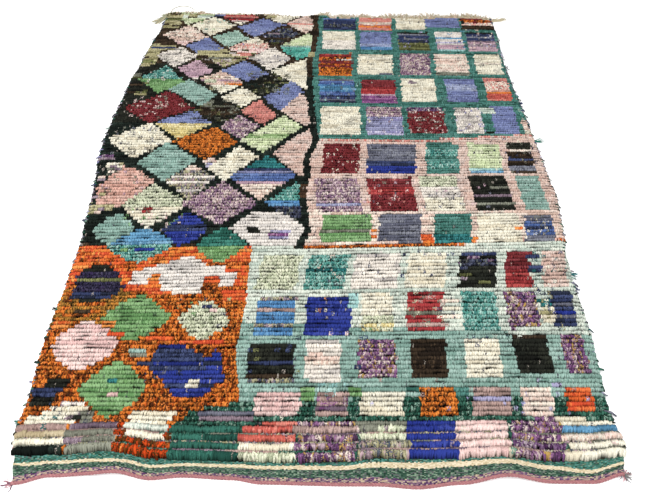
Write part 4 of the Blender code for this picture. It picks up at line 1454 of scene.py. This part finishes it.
def curve_mesh(curve):
    """A curve's surface as a closed mesh, its caps welded on."""
    guide = bpy.data.objects.new(curve.name + "_guide", curve)
    bpy.context.scene.collection.objects.link(guide)
    graph = bpy.context.evaluated_depsgraph_get()
    mesh = bpy.data.meshes.new_from_object(guide.evaluated_get(graph))
    bpy.data.objects.remove(guide)
    bm = bmesh.new()
    bm.from_mesh(mesh)
    bmesh.ops.remove_doubles(bm, verts=bm.verts, dist=0.00001)
    bmesh.ops.recalc_face_normals(bm, faces=bm.faces)
    for face in bm.faces:
        face.smooth = True
    bm.to_mesh(mesh)
    bm.free()
    return mesh


def make_side_loops(knot_tree):
    """Weft loops and small yarn ends at both ends of every row."""
    rng = np.random.default_rng(31)
    places, sides = [], []
    for start, end, pitch, _, _ in PILE_ZONES:
        rows = round((end - start) / pitch)
        for row in range(rows):
            for side in (-1.0, 1.0):
                for part in (0.25, 0.75):
                    places.append(start + (row + part) * (end - start) / rows)
                    sides.append(side)
    kept = rng.random(len(places)) < 0.62
    place = np.array(places)[kept]
    side = np.array(sides)[kept]
    count = len(place)
    rim = np.where(side < 0.0, ease(SIDE_EDGES, place, 1), ease(SIDE_EDGES, place, 2))
    x = rim - side * (0.0030 + rng.uniform(0.0, 0.0020, count))
    y = cloth_y(place, x) + rng.normal(0.0, 0.0012, count)
    points = np.stack([x - CHART_MIDDLE[0], y - CHART_MIDDLE[1], lift(place, x)], axis=1)
    turns = np.zeros((count, 3))
    turns[:, 2] = side * math.pi / 2.0 + rng.normal(0.0, 0.45, count)
    sizes = np.stack([
        rng.uniform(0.8, 1.3, count),
        0.7 + rng.gamma(1.6, 0.30, count),
        rng.uniform(0.50, 0.82, count),
    ], axis=1)
    patch = (noise_at(side * 3.0, place, 0.12, 5.0) + 1.0) * 4.0 + rng.normal(0.0, 1.1, count)
    patch = np.clip(patch, 0, 7.9)
    hues = [YARNS[LOOP_YARNS[int(p)]].split() for p in patch]
    colours = np.array([linear(h[rng.integers(len(h))]) for h in hues])
    picks = rng.integers(0, KNOT_SHAPES, count)
    # An even strength of painted shade at each loop's foot and root
    crease_shades = np.full(count, 0.6)
    return set_shapes("side_loops", knot_tree, points, turns, sizes, picks, colours, crease_shades=crease_shades)


def make_locks(tree):
    """Long yarn ends that stand out past the sides."""
    rng = np.random.default_rng(41)
    pieces = []
    for side, place, reach, yarn in LONG_LOCKS:
        rim = ease(SIDE_EDGES, np.array([place]), 1 if side < 0 else 2)[0]
        root = (rim - side * 0.004, cloth_y(np.array([place]), np.array([rim]))[0], 0.004)
        heading = 0.0 if side > 0 else 180.0
        pieces.append((bunch(root, heading, reach + 0.008, 9, 16.0, rng), yarn))
    return pieces


def make_ground_cloth():
    """The ground weave under the pile and the flat-woven front end, one thin sheet."""
    woven_lines = 26
    back_lines = 36
    across = 160
    places = np.concatenate([
        np.linspace(FRONT_EDGE, PILE_FRONT, woven_lines + 1),
        np.linspace(PILE_FRONT, PILE_BACK, back_lines + 1)[1:],
    ])
    bm = bmesh.new()
    bmesh.ops.create_grid(bm, x_segments=across, y_segments=len(places) - 1, size=1.0)
    for vert in bm.verts:
        vert.co.y = round((vert.co.y + 1.0) / 2.0 * (len(places) - 1))
    level = [e for e in bm.edges if abs(e.verts[0].co.y - e.verts[1].co.y) < 0.5]
    front = [e for e in level if e.verts[0].co.y <= woven_lines]
    bmesh.ops.subdivide_edges(bm, edges=front, cuts=1, use_grid_fill=True)
    lines = np.array([v.co.y for v in bm.verts])
    shares = np.array([(v.co.x + 1.0) / 2.0 for v in bm.verts])
    place = places[np.clip(np.round(lines).astype(int), 0, len(places) - 1)]
    left = ease(SIDE_EDGES, place, 1)
    right = ease(SIDE_EDGES, place, 2)
    x = left + shares * (right - left)
    y = np.minimum(cloth_y(place, x), ease(BACK_LINE, x) + 0.003)
    z = lift(place, x) + CLOTH_THICKNESS
    column = np.round(shares * across * 2.0).astype(int)
    row = np.round(lines).astype(int)
    weave = np.where(row < woven_lines, 0.0004 * ((column + row) % 2), 0.0)
    for vert, a, b, c in zip(bm.verts, x, y, z + weave):
        vert.co = Vector((a - CHART_MIDDLE[0], b - CHART_MIDDLE[1], c))
    tone = bm.loops.layers.float_color.new("yarn")
    rng = np.random.default_rng(5)
    for face in bm.faces:
        centre = face.calc_center_median()
        colour = woven_colour(centre.x + CHART_MIDDLE[0], centre.y + CHART_MIDDLE[1], rng)
        face.smooth = True
        for loop in face.loops:
            loop[tone] = colour
    mesh = bpy.data.meshes.new("ground_cloth")
    bm.to_mesh(mesh)
    bm.free()
    return mesh


def woven_colour(x, y, rng):
    """The weft colour of the flat-woven end, stripe by stripe, and guessed dark wefts under the pile, dark
    partly as painted shade between the rows.
    """
    edge = ease(FRONT_END, np.array([x]), 1)[0]
    foot = ease(FRONT_END, np.array([x]), 2)[0]
    # Under the pile: guessed dark wefts, their darkness partly painted shade for the creases between the rows
    if y > foot:
        return linear(("3A342E", "4A4238", "2E2A26")[rng.integers(3)])
    share = (y - edge) / (foot - edge)
    share += rng.uniform(-0.02, 0.02)
    cream_low = ease(CREAM_STRIPE, np.array([x]), 1)[0]
    cream_high = ease(CREAM_STRIPE, np.array([x]), 2)[0]
    if share < 0.27:
        names = ("woven_plum",)
    elif share < cream_low:
        names = ("woven_green",)
    elif share < cream_high:
        names = ("tan",)
    else:
        names = ("woven_green", "deep_green", "jade")
    hues = YARNS[names[rng.integers(len(names))]].split()
    return linear(hues[rng.integers(len(hues))])


def front_line(count):
    """Points along the cloth's front edge."""
    x = np.linspace(SIDE_EDGES[0][1], SIDE_EDGES[0][2], count)
    place = np.full(count, FRONT_EDGE)
    return x - CHART_MIDDLE[0], cloth_y(place, x) - CHART_MIDDLE[1], lift(place, x)


def make_edge_cord():
    """Two plies twisted round each other along the front edge."""
    x, y, z = front_line(CORD_POINTS)
    curve = bpy.data.curves.new("edge_cord_twist", "CURVE")
    curve.dimensions = "3D"
    curve.bevel_depth = CORD_PLY_RADIUS
    curve.bevel_resolution = 1
    curve.use_fill_caps = True
    length = np.concatenate([[0.0], np.cumsum(np.hypot(np.diff(x), np.diff(y)))])
    for ply in range(2):
        turn = length / CORD_TWIST_LENGTH * math.tau + ply * math.pi
        spline = curve.splines.new("POLY")
        spline.points.add(len(x) - 1)
        for i, point in enumerate(spline.points):
            point.co = (
                x[i],
                y[i] - CORD_RADIUS - CORD_GAP + CORD_PLY_OFFSET * math.cos(turn[i]),
                z[i] + CORD_RADIUS + CORD_PLY_OFFSET * math.sin(turn[i]),
                1.0,
            )
    mesh = curve_mesh(curve)
    paint_mesh(mesh, "A06E70", 0.12)
    return mesh


def paint_mesh(mesh, hex_colour, spread):
    """Gives every point of a mesh one yarn colour, a little uneven."""
    colour = np.tile(np.array(linear(hex_colour)), (len(mesh.vertices), 1))
    layer = mesh.attributes.new("yarn", "FLOAT_COLOR", "POINT")
    rng = np.random.default_rng(len(mesh.vertices))
    colour[:, :3] *= (1.0 + rng.normal(0.0, spread, len(colour)))[:, None]
    layer.data.foreach_set("color", np.clip(colour, 0.0, 1.0).astype(np.float32).ravel())


def make_floor():
    """A white studio floor, lit from behind as well, as paper is for cut-out pictures."""
    bm = bmesh.new()
    bmesh.ops.create_grid(bm, x_segments=2, y_segments=2, size=12.0)
    mesh = bpy.data.meshes.new("studio_floor")
    bm.to_mesh(mesh)
    bm.free()
    floor = bpy.data.objects.new("studio_floor", mesh)
    bpy.context.scene.collection.objects.link(floor)
    material, tree, shader = new_material("studio_paper")
    shader.inputs["Base Color"].default_value = linear("FBFBFB")
    shader.inputs["Emission Color"].default_value = (1.0, 1.0, 1.0, 1.0)
    shader.inputs["Emission Strength"].default_value = 0.25
    shader.inputs["Roughness"].default_value = 0.9
    shader.inputs["Specular IOR Level"].default_value = 0.0
    mesh.materials.append(material)


def make_lights():
    """A bright even studio: white surroundings and two large soft boxes above the front."""
    world = bpy.data.worlds.new("studio")
    world.use_nodes = True
    world.node_tree.nodes["Background"].inputs["Color"].default_value = (1.0, 1.0, 1.0, 1.0)
    world.node_tree.nodes["Background"].inputs["Strength"].default_value = 0.78
    bpy.context.scene.world = world
    for name, place, power, size in (
        ("soft_box_left", (-2.2, -1.2, 3.2), 118.0, 2.5),
        ("soft_box_right", (2.0, -2.0, 3.0), 59.0, 2.5),
    ):
        light = bpy.data.lights.new(name, "AREA")
        light.energy = power
        light.shape = "DISK"
        light.size = size
        lamp = bpy.data.objects.new(name, light)
        lamp.location = place
        lamp.rotation_mode = "QUATERNION"
        lamp.rotation_quaternion = (Vector((0.0, 0.0, 0.0)) - Vector(place)).to_track_quat("-Z", "Y")
        bpy.context.scene.collection.objects.link(lamp)
    bpy.context.scene.view_settings.view_transform = "Standard"


def make_camera():
    """The photo's view: standing eye height before the front edge."""
    data = bpy.data.cameras.new("camera")
    data.lens = CAMERA_LENS
    data.sensor_width = SENSOR_WIDTH
    camera = bpy.data.objects.new("camera", data)
    forward = Vector((
        math.sin(CAMERA_YAW) * math.cos(CAMERA_PITCH),
        math.cos(CAMERA_YAW) * math.cos(CAMERA_PITCH),
        -math.sin(CAMERA_PITCH),
    ))
    x, y, z = CAMERA_PLACE
    camera.location = (x - CHART_MIDDLE[0], y - CHART_MIDDLE[1], z)
    camera.rotation_mode = "QUATERNION"
    camera.rotation_quaternion = forward.to_track_quat("-Z", "Y")
    bpy.context.scene.collection.objects.link(camera)
    bpy.context.scene.camera = camera


def main():
    """Builds the stage and every piece, in the order that the random draws need."""
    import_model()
    make_camera()
    make_lights()
    make_floor()
    # Hand-knotted rag yarn of wool and cotton: coarse matt fibres, two plies that spot each other
    knot_yarn = yarn_finish("rag_yarn", 0.0016, 0.5, twisted=True)
    # Flat-woven wool weft: matt, with finer fibres that run across the rug
    cloth_yarn = yarn_finish("woven_wool", 0.0008, 0.4)
    # Twined wool cord and its ends: matt, a little hairy
    cord_yarn = yarn_finish("cord_wool", 0.0010, 0.4)
    # Undyed cotton warp, spun fine: the smoothest of the yarns
    warp_yarn = yarn_finish("warp_cotton", 0.0006, 0.3)
    rng = np.random.default_rng(3)
    knot_tree = setting_tree(shape_set("edge_knot", KNOT_SHAPES, knot_shape, rng))
    strand_tree = setting_tree(shape_set("strand", STRAND_SHAPES, strand_shape, rng))

    cloth = add_piece("ground_cloth", make_ground_cloth(), cloth_yarn)
    solid = cloth.modifiers.new("thickness", "SOLIDIFY")
    solid.thickness = CLOTH_THICKNESS
    solid.offset = -1.0
    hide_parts("pile_rug")
    extras = make_pile(knot_yarn)
    extras.append(add_piece("side_loops", make_side_loops(knot_tree), knot_yarn))
    for number, (ends, yarn) in enumerate(make_locks(strand_tree)):
        mesh = lay_strands("lock_%d" % number, strand_tree, *ends, 1.5, YARNS[yarn], rng)
        extras.append(add_piece("side_lock_%d" % (number + 1), mesh, knot_yarn))
    cord = add_piece("twisted_edge_cord", make_edge_cord(), cord_yarn)
    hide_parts("edge_cord")
    fringe = add_piece("warp_ends", make_fringe(strand_tree), warp_yarn)
    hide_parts("warp_fringe")
    loose = add_piece("loose_warp", make_loose_warp(), warp_yarn)
    extras += [cord, fringe, loose]
    x, y, z = front_line(2)
    for name, end, headings, hues in TASSELS:
        root = (x[end] + CHART_MIDDLE[0], y[end] + CHART_MIDDLE[1] - CORD_RADIUS, z[end] + 0.0005)
        ends = join_bunches([bunch(root, heading, 0.026, 4, 10.0, rng) for heading in headings])
        mesh = lay_strands(name + "_ends", strand_tree, *ends, 1.4, hues, rng)
        tassel = add_piece(name + "_ends", mesh, cord_yarn)
        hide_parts(name)
        extras.append(tassel)


main()
